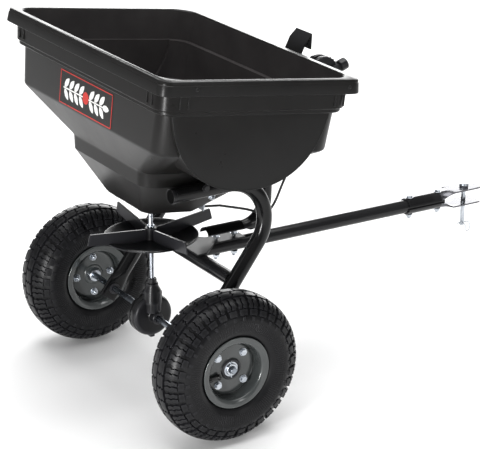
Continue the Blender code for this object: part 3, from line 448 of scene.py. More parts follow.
def hexagon(radius, height):
    """Hexagon along +Z with chamfered corners."""
    bm = bmesh.new()
    bmesh.ops.create_cone(bm, cap_ends=True, segments=6, radius1=radius, radius2=radius,
                          depth=height)
    bmesh.ops.translate(bm, vec=(0, 0, height / 2), verts=bm.verts)
    top = [f for f in bm.faces if f.normal.z > 0.9]
    bmesh.ops.bevel(bm, geom=[e for f in top for e in f.edges], offset=radius * 0.1,
                    segments=2, affect="EDGES")
    return mesh_from(bm)


def washer(radius, bore):
    top, edge = WASHER_GAUGE, 0.0002
    return lathe([(bore, 0.0), (radius - edge, 0.0), (radius, edge), (radius, top - edge),
                  (radius - edge, top), (bore, top)], 32, closed=True)


def hex_bolt(top, bottom, head=0.0052, stub=0.004, turn=0.0):
    """Bolt from under its head at top to under its nut at bottom, with washers and thread end."""
    top, bottom = Vector(top), Vector(bottom)
    radius = BOLT_RADIUS
    outward = aimed(top, top + (top - bottom)) @ Matrix.Rotation(turn, 4, "Z")
    inward = aimed(bottom, bottom + (bottom - top)) @ Matrix.Rotation(turn + 0.3, 4, "Z")
    raised = shift(0, 0, WASHER_GAUGE)
    thread = [(0.0, 0.0), (radius, 0.0), (radius, radius * 1.5 + stub),
              (radius * 0.8, radius * 1.7 + stub), (0.0, radius * 1.7 + stub)]
    return joined(
        moved(hexagon(head * 1.12, radius * 1.25), outward @ raised),
        moved(hexagon(head * 1.12, radius * 1.55), inward @ raised),
        moved(lathe(thread, 20), inward),
        rod(bottom, top, radius, 20),
        moved(washer(head * 1.35, radius * 0.9), outward),
        moved(washer(head * 1.35, radius * 0.9), inward))


def screw(name, node, top, bottom, at, body="frame", paint="zinc", **shape):
    """A bolt that stands for one CAD bolt."""
    piece(name, hex_bolt(top, bottom, **shape), paint, body, at, [node], smooth=30)


# ---- tyres ----
TYRE_HALF = [
    (0.0, 0.132), (0.01, 0.1314), (0.019, 0.1294), (0.0275, 0.1254), (0.035, 0.119),
    (0.0408, 0.1106), (0.0442, 0.101), (0.0455, 0.0905), (0.0445, 0.08), (0.0418, 0.0715),
    (0.0388, 0.0664), (0.0362, 0.0645)]
TREAD_DEPTH = 0.0036
PITCHES = 34


def section_table():
    """The tyre's outer half section as evenly spaced (x, r) points with their distance along it."""
    points = smooth_path([(x, r, 0.0) for x, r in TYRE_HALF], 12)
    points = resampled(points, 0.0008)
    lengths = [0.0]
    for a, b in zip(points, points[1:]):
        lengths.append(lengths[-1] + (b - a).length)
    return points, lengths


SECTION, SECTION_LENGTHS = section_table()


def on_section(s, sink=0.0):
    """Point (x, r) at distance s from the crown (negative on the other side), sunk below it."""
    reach = min(abs(s), SECTION_LENGTHS[-1] - 1e-6)
    index = min(int(reach / SECTION_LENGTHS[-1] * (len(SECTION) - 1)), len(SECTION) - 2)
    share = (reach - SECTION_LENGTHS[index]) / (SECTION_LENGTHS[index + 1] - SECTION_LENGTHS[index])
    point = SECTION[index].lerp(SECTION[index + 1], share)
    along = (SECTION[index + 1] - SECTION[index]).normalized()
    x = point.x + along.y * sink
    r = point.y - along.x * sink
    return (x if s >= 0 else -x), r


def on_tyre(s, angle, sink):
    x, r = on_section(s, sink)
    return Vector((x, -r * math.sin(angle), r * math.cos(angle)))


def groove_depth(s):
    """How far the carcass lies below the tread blocks."""
    return TREAD_DEPTH * (1.0 - ease((abs(s) - 0.047) / 0.017)) + 0.0004


def carcass(steps=144, rows=64):
    """Smooth casing under the blocks, closed round the inside between the beads."""
    bm = bmesh.new()
    reach = SECTION_LENGTHS[-1]
    inside = [(0.0335, 0.059), (0.0325, 0.054), (-0.0325, 0.054), (-0.0335, 0.059)]
    rings = []
    for step in range(steps):
        angle = math.tau * step / steps
        ring = [
            bm.verts.new(on_tyre(s, angle, groove_depth(s)))
            for s in [reach * (2 * row / rows - 1) for row in range(rows + 1)]]
        ring += [bm.verts.new((x, -r * math.sin(angle), r * math.cos(angle))) for x, r in inside]
        rings.append(ring)
    skin_round(bm, rings, True)
    return bm


def add_block(bm, angles, reach, edge, rows, sink=0.0, columns=4, draft=0.0006):
    """One raised block: a grid that follows the tyre, with drafted walls into the casing.

    edge(s) shifts both ends of the block round the tyre, which makes zigzag grooves.
    """
    top, base = [], []
    for row in range(rows + 1):
        v = row / rows
        s = reach[0] + (reach[1] - reach[0]) * v
        inset_s = reach[0] + (reach[1] - reach[0]) * (0.5 + (v - 0.5) * (1 - 2 * draft / abs(
            reach[1] - reach[0])))
        top_row, base_row = [], []
        for column in range(columns + 1):
            u = column / columns
            angle = angles[0] + (angles[1] - angles[0]) * u + edge(s)
            middle = (angles[0] + angles[1]) / 2 + edge(s)
            inset = middle + (angle - middle) * (1 - 2 * draft / (0.12 * (angles[1] - angles[0])))
            top_row.append(bm.verts.new(on_tyre(inset_s, inset, sink)))
            base_row.append(bm.verts.new(on_tyre(s, angle, groove_depth(s) + 0.0006)))
        top.append(top_row)
        base.append(base_row)
    for i in range(rows):
        for j in range(columns):
            bm.faces.new((top[i][j], top[i][j + 1], top[i + 1][j + 1], top[i + 1][j]))
            bm.faces.new((base[i][j], base[i + 1][j], base[i + 1][j + 1], base[i][j + 1]))
    rim_top = top[0] + [row[-1] for row in top[1:]] + top[-1][-2::-1] + [
        row[0] for row in top[-2:0:-1]]
    rim_base = base[0] + [row[-1] for row in base[1:]] + base[-1][-2::-1] + [
        row[0] for row in base[-2:0:-1]]
    for i in range(len(rim_top)):
        j = (i + 1) % len(rim_top)
        bm.faces.new((rim_top[i], rim_base[i], rim_base[j], rim_top[j]))


def zigzag(amount, period, start=0.0):
    def edge(s):
        phase = ((s + start) / period) % 1.0
        return amount * (4 * abs(phase - 0.5) - 1)
    return edge


def straight(s):
    return 0.0


def tyre_mesh():
    """Casing with two rows of interlocking centre blocks, shoulder lugs and side ribs."""
    bm = carcass()
    pitch = math.tau / PITCHES
    for index in range(PITCHES):
        start = index * pitch
        for side in (-1, 1):
            offset = start + (0.5 * pitch if side > 0 else 0.0)
            add_block(bm, (offset + 0.05 * pitch, offset + 0.95 * pitch),
                      (side * 0.0012, side * 0.0168), zigzag(0.1 * pitch, 0.0075), 8)
            shoulder = offset + 0.22 * pitch
            for low, high in ((0.08, 0.42), (0.5, 0.84)):
                add_block(bm, (shoulder + low * pitch, shoulder + high * pitch),
                          (side * 0.0205, side * 0.044), zigzag(0.06 * pitch, 0.011, 0.002), 8,
                          columns=3)
            add_block(bm, (shoulder + 0.1 * pitch, shoulder + 0.82 * pitch),
                      (side * 0.045, side * 0.056), straight, 4, sink=0.0004)
            add_block(bm, (shoulder + 0.3 * pitch, shoulder + 0.62 * pitch),
                      (side * 0.0575, side * 0.0655), straight, 3, sink=-0.0002, columns=2)
            for share in (0.1, 0.35, 0.6, 0.85):
                rib = offset + share * pitch
                add_block(bm, (rib - 0.035 * pitch, rib + 0.035 * pitch),
                          (side * 0.068, side * 0.086), straight, 4, sink=-0.0002,
                          columns=1, draft=0.0002)
    return mesh_from(bm)


# ---- wheels ----
BOLT_CIRCLE = 0.035


def rim_half():
    """Pressed half rim for the +X side: rolled flange, bead seat, disc with a raised ring."""
    outer = soft_profile([
        (0.014, 0.0195), (0.0175, 0.0195), (0.0195, 0.0178), (0.024, 0.0175), (0.04, 0.0175),
        (0.0448, 0.0168), (0.0476, 0.0145), (0.0488, 0.015), (0.0494, 0.021), (0.0499, 0.031),
        (0.0512, 0.0352), (0.0545, 0.0372), (0.0595, 0.0385), (0.0622, 0.039), (0.0634, 0.0383),
        (0.0635, 0.0374)])
    inner = soft_profile([
        (0.063, 0.037), (0.06, 0.0366), (0.055, 0.0352), (0.0524, 0.0335), (0.0516, 0.029),
        (0.0512, 0.012), (0.051, 0.0006), (0.049, 0.0006), (0.0486, 0.01), (0.0474, 0.0126),
        (0.0446, 0.0148), (0.04, 0.0155), (0.024, 0.0155), (0.014, 0.0155)])
    return lathe(outer + inner, 112, "X", closed=True)


def valve_stem():
    """Rubber valve standing off the disc towards the rear."""
    stem = lathe([(0.0, 0.0), (0.0052, 0.0), (0.005, 0.003), (0.0036, 0.0045), (0.0032, 0.015),
                  (0.004, 0.0152), (0.004, 0.0205), (0.0034, 0.0215), (0.0, 0.0215)], 24)
    return moved(stem, shift(0.0225, -0.0235, -0.0075) @ spin(94))


def wheel(prefix, body, middle_x, outward, phase):
    here = MACHINE @ shift(middle_x, 0.0, 0.0)
    facing = here if outward > 0 else here @ spin(180, "Z")
    spun = Matrix.Rotation(phase, 4, "X")
    piece(prefix + "_tyre_tread", tyre_mesh(), "tyre_rubber", body, here @ spun,
          [prefix + "_tyre"], bevel=0.0005, segments=1, bevel_angle=38.0)
    piece(prefix + "_rim_face", rim_half(), "grey_rim", body, facing, [prefix + "_rim_outer"],
          smooth=45)
    piece(prefix + "_rim_back", rim_half(), "grey_rim", body, facing @ spin(180, "Z"),
          [prefix + "_rim_inner"], smooth=45)
    hub = lathe([
        (0.006, -0.0275), (0.0105, -0.028), (0.0118, -0.027), (0.0135, -0.02),
        (0.0135, 0.019), (0.013, 0.02), (0.0108, 0.0202), (0.0105, 0.0232), (0.0099, 0.024),
        (0.007, 0.024), (0.006, 0.0232)], 64, "X", closed=True)
    piece(prefix + "_hub_sleeve", hub, "zinc", body, facing, [prefix + "_hub"], smooth=30)
    boss = lathe([(0.0142, 0.0178), (0.0182, 0.0178), (0.018, 0.0208), (0.0172, 0.0216),
                  (0.015, 0.0216), (0.0142, 0.0208)], 64, "X", closed=True)
    piece(prefix + "_bearing_cap", boss, "black_plastic", body, facing, smooth=40)
    for index in range(4):
        angle = math.tau * (index + 0.5) / 4 if outward > 0 else math.tau * index / 4
        y, z = BOLT_CIRCLE * math.cos(angle), BOLT_CIRCLE * math.sin(angle)
        screw(f"{prefix}_rim_bolt_{index + 1}", f"{prefix}_bolt_{index + 1}",
              (outward * 0.0178, y, z), (-outward * 0.0178, y, z), here, body, head=0.0053,
              stub=0.003, turn=0.7 * index)
    piece(prefix + "_valve_stem", valve_stem(), "cable_jacket", body, facing, smooth=40)


# ---- axle and gear case ----
def axle_parts():
    body = "axle_and_drive_wheel"
    shaft = lathe([(0.0, -0.2755), (0.0045, -0.2755), (0.0055, -0.2745), (0.0055, 0.2745),
                   (0.0045, 0.2755), (0.0, 0.2755)], 40, "X")
    piece("axle_rod", shaft, "axle_steel", body, MACHINE, ["axle"])
    for name, node, x, reach in (("drive_cotter", "drive_pin", 0.2655, 0.015),
                                 ("axle_end_cotter", "axle_end_pin", -0.2718, 0.0105)):
        legs = [rod((x, 0.0, -reach), (x, 0.0, reach * 0.9), 0.0012, 16)]
        loop = [Vector((x + 0.0022 * math.cos(a), 0.0, reach * 0.9 + 0.0022 * math.sin(a)))
                for a in [math.tau * k / 16 for k in range(17)]]
        legs.append(sweep(loop, round_section(0.0008), Vector((0, 1, 0)), 10))
        piece(name, joined(*legs), "zinc", body, MACHINE, [node])


def gear_case():
    """Two-part drum round the crown gear with the ribbed pinion housing on its right half."""
    left = lathe([
        (0.0062, -0.031), (0.0098, -0.031), (0.0105, -0.0303), (0.0105, -0.0262), (0.012, -0.0252),
        (0.03, -0.0246), (0.035, -0.0235), (0.0372, -0.0212), (0.0375, -0.019),
        (0.0375, -0.0168), (0.0345, -0.0166), (0.0345, -0.021), (0.0062, -0.0215)],
        72, "X", closed=True)
    right = lathe([
        (0.0062, 0.02), (0.0098, 0.02), (0.0105, 0.0193), (0.0105, 0.006), (0.012, 0.0045),
        (0.03, 0.004), (0.035, 0.003), (0.0372, 0.0008), (0.0375, -0.0015),
        (0.0375, -0.016), (0.0345, -0.0162), (0.0345, -0.004), (0.0062, -0.004)],
        72, "X", closed=True)
    piece("gearcase_left_cover", left, "black_plastic", "frame", MACHINE, ["gearcase_left"],
          smooth=38)
    tower = lathe([
        (0.0045, 0.0715), (0.0072, 0.072), (0.008, 0.0712), (0.0084, 0.064), (0.0108, 0.0628),
        (0.011, 0.058), (0.015, 0.05), (0.0158, 0.047), (0.016, 0.03), (0.0165, 0.029),
        (0.0165, 0.025), (0.016, 0.024), (0.0158, 0.012), (0.015, 0.0092), (0.013, 0.0092),
        (0.013, 0.0165), (0.0045, 0.0165)],
        56, closed=True)
    shapes = [right, tower]
    for angle in range(20, 360, 60):
        rib = prism([(0.012, 0.0125), (0.0176, 0.0125), (0.0176, 0.0445), (0.012, 0.056)],
                    -0.0009, 0.0009, "Y")
        shapes.append(moved(rib, spin(angle, "Z")))
    tab = prism([(-0.0045, -0.034), (0.0045, -0.034), (0.004, -0.043), (-0.004, -0.043)],
                -0.0225, -0.003, "X")
    shapes.append(tab)
    piece("gearcase_right_cover", joined(*shapes), "black_plastic", "frame", MACHINE,
          ["gearcase_right"], smooth=38)
    band = lathe([(0.0376, -0.0215), (0.0386, -0.0205), (0.0388, -0.017), (0.0384, -0.0164),
                  (0.0384, -0.016), (0.0388, -0.0154), (0.0386, -0.004), (0.0376, -0.0025)],
                 72, "X", closed=True)
    piece("gearcase_rim", band, "black_paint", "frame", MACHINE, smooth=40)


# ---- upright shaft and impeller ----
IMPELLER_Z = 0.142


def shaft_parts():
    z = IMPELLER_Z
    shaft = lathe([(0.0, 0.0135), (0.0035, 0.0135), (0.004, 0.014), (0.004, 0.275),
                   (0.0034, 0.276), (0.0, 0.276)], 32)
    piece("upright_shaft", shaft, "shaft_steel", "shaft", MACHINE, ["spreader_shaft"])
    dish = soft_profile([
        (0.01, z + 0.026), (0.0104, z + 0.015), (0.011, z + 0.006), (0.0135, z + 0.0042),
        (0.04, z + 0.0052), (0.062, z + 0.0078), (0.076, z + 0.0112), (0.082, z + 0.0122),
        (0.0838, z + 0.0118), (0.0838, z + 0.0104)])
    under = soft_profile([
        (0.0815, z + 0.0094), (0.074, z + 0.0068), (0.06, z + 0.0034), (0.04, z + 0.0014),
        (0.02, z + 0.0006), (0.012, z), (0.006, z)])
    bore = [(0.0046, z + 0.0005), (0.0046, z + 0.026)]
    piece("impeller_dish", lathe(dish + under + bore, 96, closed=True), "black_plastic", "shaft",
          MACHINE, ["impeller"], smooth=40)
    blade_outline = [
        (0.008, z + 0.004), (0.04, z + 0.004), (0.062, z + 0.0064), (0.0835, z + 0.01),
        (0.1236, z + 0.0165), (0.125, z + 0.018), (0.1206, z + 0.0356), (0.1194, z + 0.0368),
        (0.0085, z + 0.024)]
    for index in range(4):
        blade = prism(blade_outline, -0.0012, 0.0012, "Y")
        lip = prism([(0.009, z + 0.0228), (0.1196, z + 0.0356), (0.1196, z + 0.0368),
                     (0.009, z + 0.0241)], -0.0019, 0.0019, "Y")
        piece(f"impeller_blade_{index + 1}", joined(blade, lip), "black_plastic", "shaft",
              MACHINE @ spin(index * 90, "Z"), bevel=0.0005)
    pin_z = z + 0.0285
    collar = lathe([(0.0042, pin_z - 0.0022), (0.0062, pin_z - 0.0022), (0.0066, pin_z - 0.0016),
                    (0.0066, pin_z + 0.0016), (0.0062, pin_z + 0.0022), (0.0042, pin_z + 0.0022)],
                   32, closed=True)
    pin = rod((-0.0085, 0, pin_z), (0.0085, 0, pin_z), 0.0011, 12)
    piece("impeller_cross_pin", joined(collar, pin), "zinc", "shaft", MACHINE, ["impeller_pin"])


# ---- tubular frame ----
SIDE_RADIUS = 0.0135
TUBE_WALL = 0.0016


def open_tube(low, high, steps, axis):
    """Length of the straight tube that the cross tube and the tow tube are cut from."""
    inside = TOW_RADIUS - TUBE_WALL
    return lathe([(TOW_RADIUS, low), (TOW_RADIUS, high), (inside, high), (inside, low)], steps,
                 axis, closed=True)


def side_section(travelled, total, angle):
    """Round tube whose lower end is pressed flat, for the axle's bushing."""
    flat = 1.0 - ease((travelled - 0.028) / 0.03)
    half_x = SIDE_RADIUS + (0.0046 - SIDE_RADIUS) * flat
    half_n = SIDE_RADIUS + (0.0175 - SIDE_RADIUS) * flat
    power = 1.0 - 0.45 * flat
    cos, sin = math.cos(angle), math.sin(angle)
    return (half_x * math.copysign(abs(cos) ** power, cos),
            half_n * math.copysign(abs(sin) ** power, sin))


def side_tube_end(name, at):
    """Thin rolled lip round a side tube's open end, and a dark disc inside it as painted shade of
    the hollow.
    """
    r = SIDE_RADIUS
    lip = lathe([(r * 0.84, 0.0), (r * 0.86, 0.0012), (r * 0.93, 0.0016), (r * 0.985, 0.001),
                 (r * 0.985, -0.0004), (r * 0.84, -0.0004)], 40, closed=True)
    piece(f"side_tube_lip_{name}", moved(lip, at), "black_paint", "frame")
    # a dark disc closes the tube: painted shade standing for the hollow inside
    mouth = lathe([(0.0, 0.0002), (r * 0.8, 0.0003), (r * 0.845, 0.0008), (r * 0.845, -0.0003),
                   (0.0, -0.0003)], 40)
    piece(f"side_tube_mouth_painted_shade_{name}", moved(mouth, at), "painted_shade_black", "frame")


def frame_parts():
    for side, name in ((1, "right"), (-1, "left")):
        x = side * SIDE_X
        path = rounded_path([(x, -0.0128, -0.0167), (x, 0.2149, 0.28), (x, -0.0428, 0.28)],
                            [0.073], 28)
        tube = sweep(resampled(path, 0.0045), side_section, sides=36)
        piece(f"side_tube_{name}", tube, "black_paint", "frame", MACHINE, [f"frame_tube_{name}"],
              smooth=50)
        side_tube_end(name, aimed((x, -0.043, 0.28), (x, -0.1, 0.28)))
        ring = lathe([(0.006, -0.0074), (0.01, -0.0074), (0.0104, -0.0068), (0.0104, -0.005),
                      (0.0088, -0.0048), (0.0088, 0.0048), (0.0112, 0.005), (0.0115, 0.0056),
                      (0.0115, 0.007), (0.011, 0.0075), (0.006, 0.0075)], 40, "X", closed=True)
        turn = spin(0 if side > 0 else 180, "Z")
        piece(f"axle_bush_{name}", ring, "black_plastic", "frame",
              MACHINE @ shift(x, 0, 0) @ turn, [f"axle_bushing_{name}"])
    reach = SIDE_X - 0.006
    piece("cross_tube_welded", open_tube(-reach, reach, 40, "X"), "black_paint", "frame",
          MACHINE @ shift(0, 0.076, CROSS_Z), ["cross_tube"], smooth=50)


# ---- tow tube, support tube and hitch ----
GUSSET_TOP = TOW_RADIUS + 0.0033


def support_section(travelled, total, angle):
    """Round tube crushed into a trough at the tow tube and pressed flat at the hopper."""
    cos, sin = math.cos(angle), math.sin(angle)
    crush = 1.0 - ease((travelled - 0.068) / 0.03)
    flat = ease((travelled - (total - 0.08)) / 0.03)
    across = TOW_RADIUS * (1 + 0.12 * crush) * cos
    out = TOW_RADIUS * sin
    if sin > 0:
        out *= 1.0 - 1.78 * crush
    across *= 1.0 + 0.22 * flat
    out += (math.copysign(min(abs(out), 0.0041), out) - out) * flat
    return across, out


def tow_bar():
    """Tow tube, and the gusset plate that lies on its rear end."""
    piece("tow_bar", open_tube(0.0, 0.552, 48, "Y"), "black_paint", "frame", TOW, ["tow_tube"],
          smooth=50)
    top = TOW_RADIUS + 0.0003
    outline = [(-0.052, -0.026), (0.052, -0.026), (0.052, -0.006), (0.0175, 0.03),
               (0.0165, 0.04), (0.0165, 0.096), (-0.0165, 0.096), (-0.0165, 0.04),
               (-0.0175, 0.03), (-0.052, -0.006)]
    piece("gusset", prism(outline, top, GUSSET_TOP), "gusset_paint", "frame", TOW,
          ["gusset_plate"], bevel=0.0007, segments=2)


def front_support():
    axis_z = GUSSET_TOP + 0.0003 + TOW_RADIUS
    path = rounded_path(
        [(0, 0.018, axis_z), (0, 0.144, axis_z), (0, 0.1465, 0.108), (0, 0.1164, 0.232),
         (0, 0.1274, 0.3)], [0.048, 0.08, 0.05], 20)
    tube = sweep(resampled(path, 0.004), support_section, sides=40)
    support = piece("front_support", tube, "black_paint", "frame", TOW, ["front_support_tube"],
                    smooth=50)
    # the crushed lower end gets the near-black matt material with almost no gloss: painted shade
    # for the trough
    support.data.materials.append(PAINT["painted_shade_black"])
    to_tow = TOW.inverted()
    for face in support.data.polygons:
        middle = to_tow @ face.center
        if middle.y < 0.096 and middle.z < 0.045 and face.normal.z > 0.25:
            face.material_index = 1
    floor_z = axis_z - TOW_RADIUS + 0.0036
    for name, y in (("rear", 0.043), ("front", 0.081)):
        screw(f"support_screw_{name}", f"support_bolt_{name}", (0, y, floor_z),
              (0, y, -TOW_RADIUS - 0.0003), TOW, head=0.0054, stub=0.005)


def hitch_parts():
    for label, side in (("upper", 1), ("lower", -1)):
        piece(f"hitch_plate_{label}", hitch_plate(side), "bright_bracket", "frame", TOW,
              [f"hitch_bracket_{label}"], smooth=30)
        piece(f"hitch_saddle_{label}", hitch_saddle(side), "black_paint", "frame", TOW, smooth=30)
    outside = TOW_RADIUS + 0.0036
    for name, y, turn in (("rear", 0.4755, 0.4), ("front", 0.5425, 0.9)):
        screw(f"hitch_screw_{name}", f"hitch_bolt_{name}", (0, y, outside), (0, y, -outside), TOW,
              turn=turn)


def bent_sheet(stations, columns, gauge, side):
    """Sheet through rows of (x, z) points at given y stations, thickened away from the tube."""
    bm = bmesh.new()
    skins = []
    for lift in (0.0, gauge):
        rows = []
        for y, shape in stations:
            row = []
            for k in range(columns + 1):
                u = 2 * k / columns - 1
                x, z, nx, nz = shape(u)
                row.append(bm.verts.new((x + nx * lift, y, side * (z + nz * lift))))
            rows.append(row)
        skins.append(rows)
    last = len(stations) - 1
    for low, high in zip(range(last), range(1, last + 1)):
        for k in range(columns):
            for rows in skins:
                bm.faces.new((rows[low][k], rows[low][k + 1], rows[high][k + 1], rows[high][k]))
    inner, outer = skins
    for k in range(columns):
        for end in (0, last):
            bm.faces.new((inner[end][k], inner[end][k + 1], outer[end][k + 1], outer[end][k]))
    for row in range(last):
        for k in (0, columns):
            bm.faces.new((inner[row][k], inner[row + 1][k], outer[row + 1][k], outer[row][k]))
    return mesh_from(bm)


def saddle_shape(flat, half):
    """Cross-section that turns from half round over the tube to flat; flat goes 0 to 1."""
    radius = TOW_RADIUS + 0.0003

    def shape(u):
        angle = math.pi / 2 - u * math.radians(80)
        round_x, round_z = radius * math.cos(angle), radius * math.sin(angle)
        flat_x, flat_z = u * half, radius
        nx = math.cos(angle) * (1 - flat)
        nz = math.sin(angle) * (1 - flat) + flat
        size = math.hypot(nx, nz)
        return (round_x + (flat_x - round_x) * flat, round_z + (flat_z - round_z) * flat,
                nx / size, nz / size)
    return shape


def hitch_saddle(side):
    stations = [(y, saddle_shape(0.0, 0.019)) for y in (0.4655, 0.468, 0.52, 0.542)]
    return bent_sheet(stations, 24, 0.003, side)


def hitch_plate(side):
    """Flared end of the saddle and the flat tongue with its clipped corners."""
    stations = [(0.542 + 0.03 * step / 12, saddle_shape(ease(step / 12), 0.019))
                for step in range(13)]
    stations += [(y, saddle_shape(1.0, half)) for y, half in (
        (0.585, 0.019), (0.605, 0.019), (0.6265, 0.019), (0.6325, 0.0186), (0.6345, 0.0172))]
    return bent_sheet(stations, 24, 0.003, side)


PIN_Y = 0.6065


def hitch_pin_parts():
    at = TOW @ shift(0, PIN_Y, 0)
    top = TOW_RADIUS + 0.0036
    pin = lathe([
        (0.0, top + 0.006), (0.007, top + 0.006), (0.0082, top + 0.0054), (0.0088, top + 0.0042),
        (0.0088, top + 0.0006), (0.0084, top), (0.0045, top), (0.0045, -0.0618), (0.0036, -0.0636),
        (0.0024, -0.064), (0.0, -0.064)], 40)
    piece("hitch_pin_steel", pin, "zinc", "hitch_pin", at, ["hitch_pin"], smooth=35)
    z = -0.0585
    path = smooth_path([
        (0.0, -0.0125, z), (0.0, 0.0, z), (0.0, 0.0105, z - 0.0003), (0.0, 0.018, z - 0.0035),
        (0.0, 0.0208, z - 0.012), (0.0, 0.018, z - 0.019), (0.0, 0.012, z - 0.0205),
        (0.003, 0.0075, z - 0.014), (0.0062, 0.004, z - 0.005), (0.0062, -0.002, z + 0.0005),
        (0.0055, -0.008, z - 0.001), (0.0062, -0.013, z + 0.0035)], 8)
    clip = sweep(path, round_section(0.0009), Vector((1, 0, 0)), 12)
    piece("hitch_clip_wire", clip, "zinc", "hitch_pin_clip", at, ["hitch_pin_clip"], smooth=60)


# ---- hopper ----
HOPPER_OUTSIDE = [
    (-0.2825, 0.073, 0.051, 0.0434, 0.016),
    (-0.279, 0.0765, 0.0545, 0.0436, 0.017),
    (-0.2195, 0.1325, 0.106, 0.0545, 0.026),
    (-0.2175, 0.1338, 0.1078, 0.0548, 0.026),
    (-0.215, 0.1341, 0.1082, 0.0548, 0.026),
    (-0.1955, 0.1354, 0.1108, 0.0548, 0.026),
    (-0.1932, 0.1358, 0.1114, 0.0549, 0.026),
    (-0.1905, 0.1392, 0.113, 0.0551, 0.027),
    (-0.1312, 0.2508, 0.164, 0.0621, 0.033),
    (-0.1284, 0.254, 0.166, HOPPER_Y, 0.034),
    (-0.1256, 0.255, 0.1667, HOPPER_Y, 0.034),
    (-0.0635, 0.258, 0.1685, HOPPER_Y, 0.03),
    (-0.0605, 0.2588, 0.1693, HOPPER_Y, 0.031),
    (-0.0597, 0.2655, 0.176, HOPPER_Y, 0.032),
    (-0.0585, 0.2666, 0.1771, HOPPER_Y, 0.032),
    (-0.054, 0.2668, 0.1773, HOPPER_Y, 0.032),
    (-0.0515, 0.2692, 0.1797, HOPPER_Y, 0.03),
    (-0.025, 0.2708, 0.1813, HOPPER_Y, 0.03),
    (-0.0244, 0.2815, 0.1908, HOPPER_Y, 0.021),
    (-0.0236, 0.2828, 0.192, HOPPER_Y, 0.02),
    (-0.0222, 0.283, 0.1922, HOPPER_Y, 0.02),
    (-0.0074, 0.2816, 0.191, HOPPER_Y, 0.02),
    (-0.0064, 0.2808, 0.1902, HOPPER_Y, 0.02),
    (-0.0048, 0.2808, 0.1902, HOPPER_Y, 0.02),
    (-0.0022, 0.2806, 0.19, HOPPER_Y, 0.02),
    (-0.0008, 0.2801, 0.1895, HOPPER_Y, 0.02),
    (0.0, 0.2788, 0.1882, HOPPER_Y, 0.021),
]
HOPPER_INSIDE = [
    (-0.2785, 0.069, 0.047, 0.0434, 0.012),
    (-0.2155, 0.13, 0.104, 0.0548, 0.022),
    (-0.191, 0.1312, 0.107, 0.0548, 0.022),
    (-0.126, 0.2505, 0.1623, HOPPER_Y, 0.03),
    (-0.0565, 0.254, 0.1645, HOPPER_Y, 0.028),
    (-0.0555, 0.2625, 0.173, HOPPER_Y, 0.03),
    (-0.0024, 0.2662, 0.1767, HOPPER_Y, 0.034),
    (-0.0008, 0.2672, 0.1777, HOPPER_Y, 0.034),
    (0.002, 0.2698, 0.1803, HOPPER_Y, 0.035),
]
TROUGH_HALF = 0.2625
TROUGH_Y = 0.0567
TROUGH_Z = -0.0309
TROUGH_WIDE = 0.1512
TROUGH_DEEP = 0.1566
TROUGH_FULLNESS = 2.2
CORNER_STEPS = 12


def rounded_rectangle(half_x, half_y, middle_y, radius):
    points = []
    for quarter, (side_x, side_y) in enumerate([(1, 1), (-1, 1), (-1, -1), (1, -1)]):
        centre_x = side_x * (half_x - radius)
        centre_y = middle_y + side_y * (half_y - radius)
        for step in range(CORNER_STEPS + 1):
            angle = (quarter + step / CORNER_STEPS) * math.pi / 2
            points.append((centre_x + radius * math.cos(angle),
                           centre_y + radius * math.sin(angle)))
    return points


def stacked(levels):
    """Solid through a stack of rounded rectangles, capped at both ends."""
    bm = bmesh.new()
    rings = [
        [bm.verts.new((x, y, height)) for x, y in rounded_rectangle(hx, hy, my, radius)]
        for height, hx, hy, my, radius in levels]
    return skin_along(bm, rings)


def trough_curve(inset, top, steps=72):
    """Full-sided ellipse below a level, as (y, z) points from the rear to the front."""
    wide, deep = TROUGH_WIDE - inset, TROUGH_DEEP - inset
    start = math.asin(((TROUGH_Z - top) / deep) ** (TROUGH_FULLNESS / 2))
    power = 2 / TROUGH_FULLNESS
    points = []
    for step in range(steps + 1):
        angle = start + (math.pi - 2 * start) * step / steps
        across = math.copysign(abs(math.cos(angle)) ** power, math.cos(angle))
        points.append((TROUGH_Y - wide * across, TROUGH_Z - deep * math.sin(angle) ** power))
    return points


def trough(inset, top, half):
    return prism(trough_curve(inset, top), -half, half, "X")


def carved(base, steps):
    """Boolean a list of (operation, mesh) into a mesh, applied."""
    obj = add_object("carving", base)
    tools = []
    for operation, mesh in steps:
        tools.append(add_object("tool", mesh))
        modifier = obj.modifiers.new("cut", "BOOLEAN")
        modifier.operation = operation
        modifier.solver = "EXACT"
        modifier.object = tools[-1]
    bpy.context.view_layer.update()
    evaluated = obj.evaluated_get(bpy.context.evaluated_depsgraph_get())
    mesh = bpy.data.meshes.new_from_object(evaluated)
    for item in tools + [obj]:
        bpy.data.objects.remove(item, do_unlink=True)
    return mesh


def hopper_mesh():
    floor = HOPPER_OUTSIDE[0][0]
    ports = [("DIFFERENCE", box((low, 0.0084, floor - 0.01), (high, 0.0254, floor + 0.01)))
             for low, high in ((-0.033, -0.01), (0.01, 0.033))]
    return carved(stacked(HOPPER_OUTSIDE), [
        ("UNION", trough(0.0, -0.06, TROUGH_HALF)),
        ("DIFFERENCE", stacked(HOPPER_INSIDE)),
        ("DIFFERENCE", trough(0.004, -0.055, TROUGH_HALF - 0.004)),
        ("DIFFERENCE", lathe([(0.0, floor - 0.01), (0.0088, floor - 0.01), (0.0088, floor + 0.01),
                              (0.0, floor + 0.01)], 32))] + ports)


def hopper_shell():
    shell = piece("hopper_shell", hopper_mesh(), "hopper_poly", "frame", HOPPER, ["hopper"],
                  smooth=24)
    # the inner walls get a paler copy of the hopper plastic: painted light, for the light they
    # catch from above
    shell.data.materials.append(PAINT["hopper_inside_painted_light"])
    to_hopper = HOPPER.inverted()
    turn = to_hopper.to_3x3()
    for face in shell.data.polygons:
        middle, normal = to_hopper @ face.center, turn @ face.normal
        outward = Vector((middle.x, middle.y - HOPPER_Y, 0.0))
        if middle.z < -0.004 and normal.dot(outward) < 0.0 and normal.z > -0.2:
            face.material_index = 1


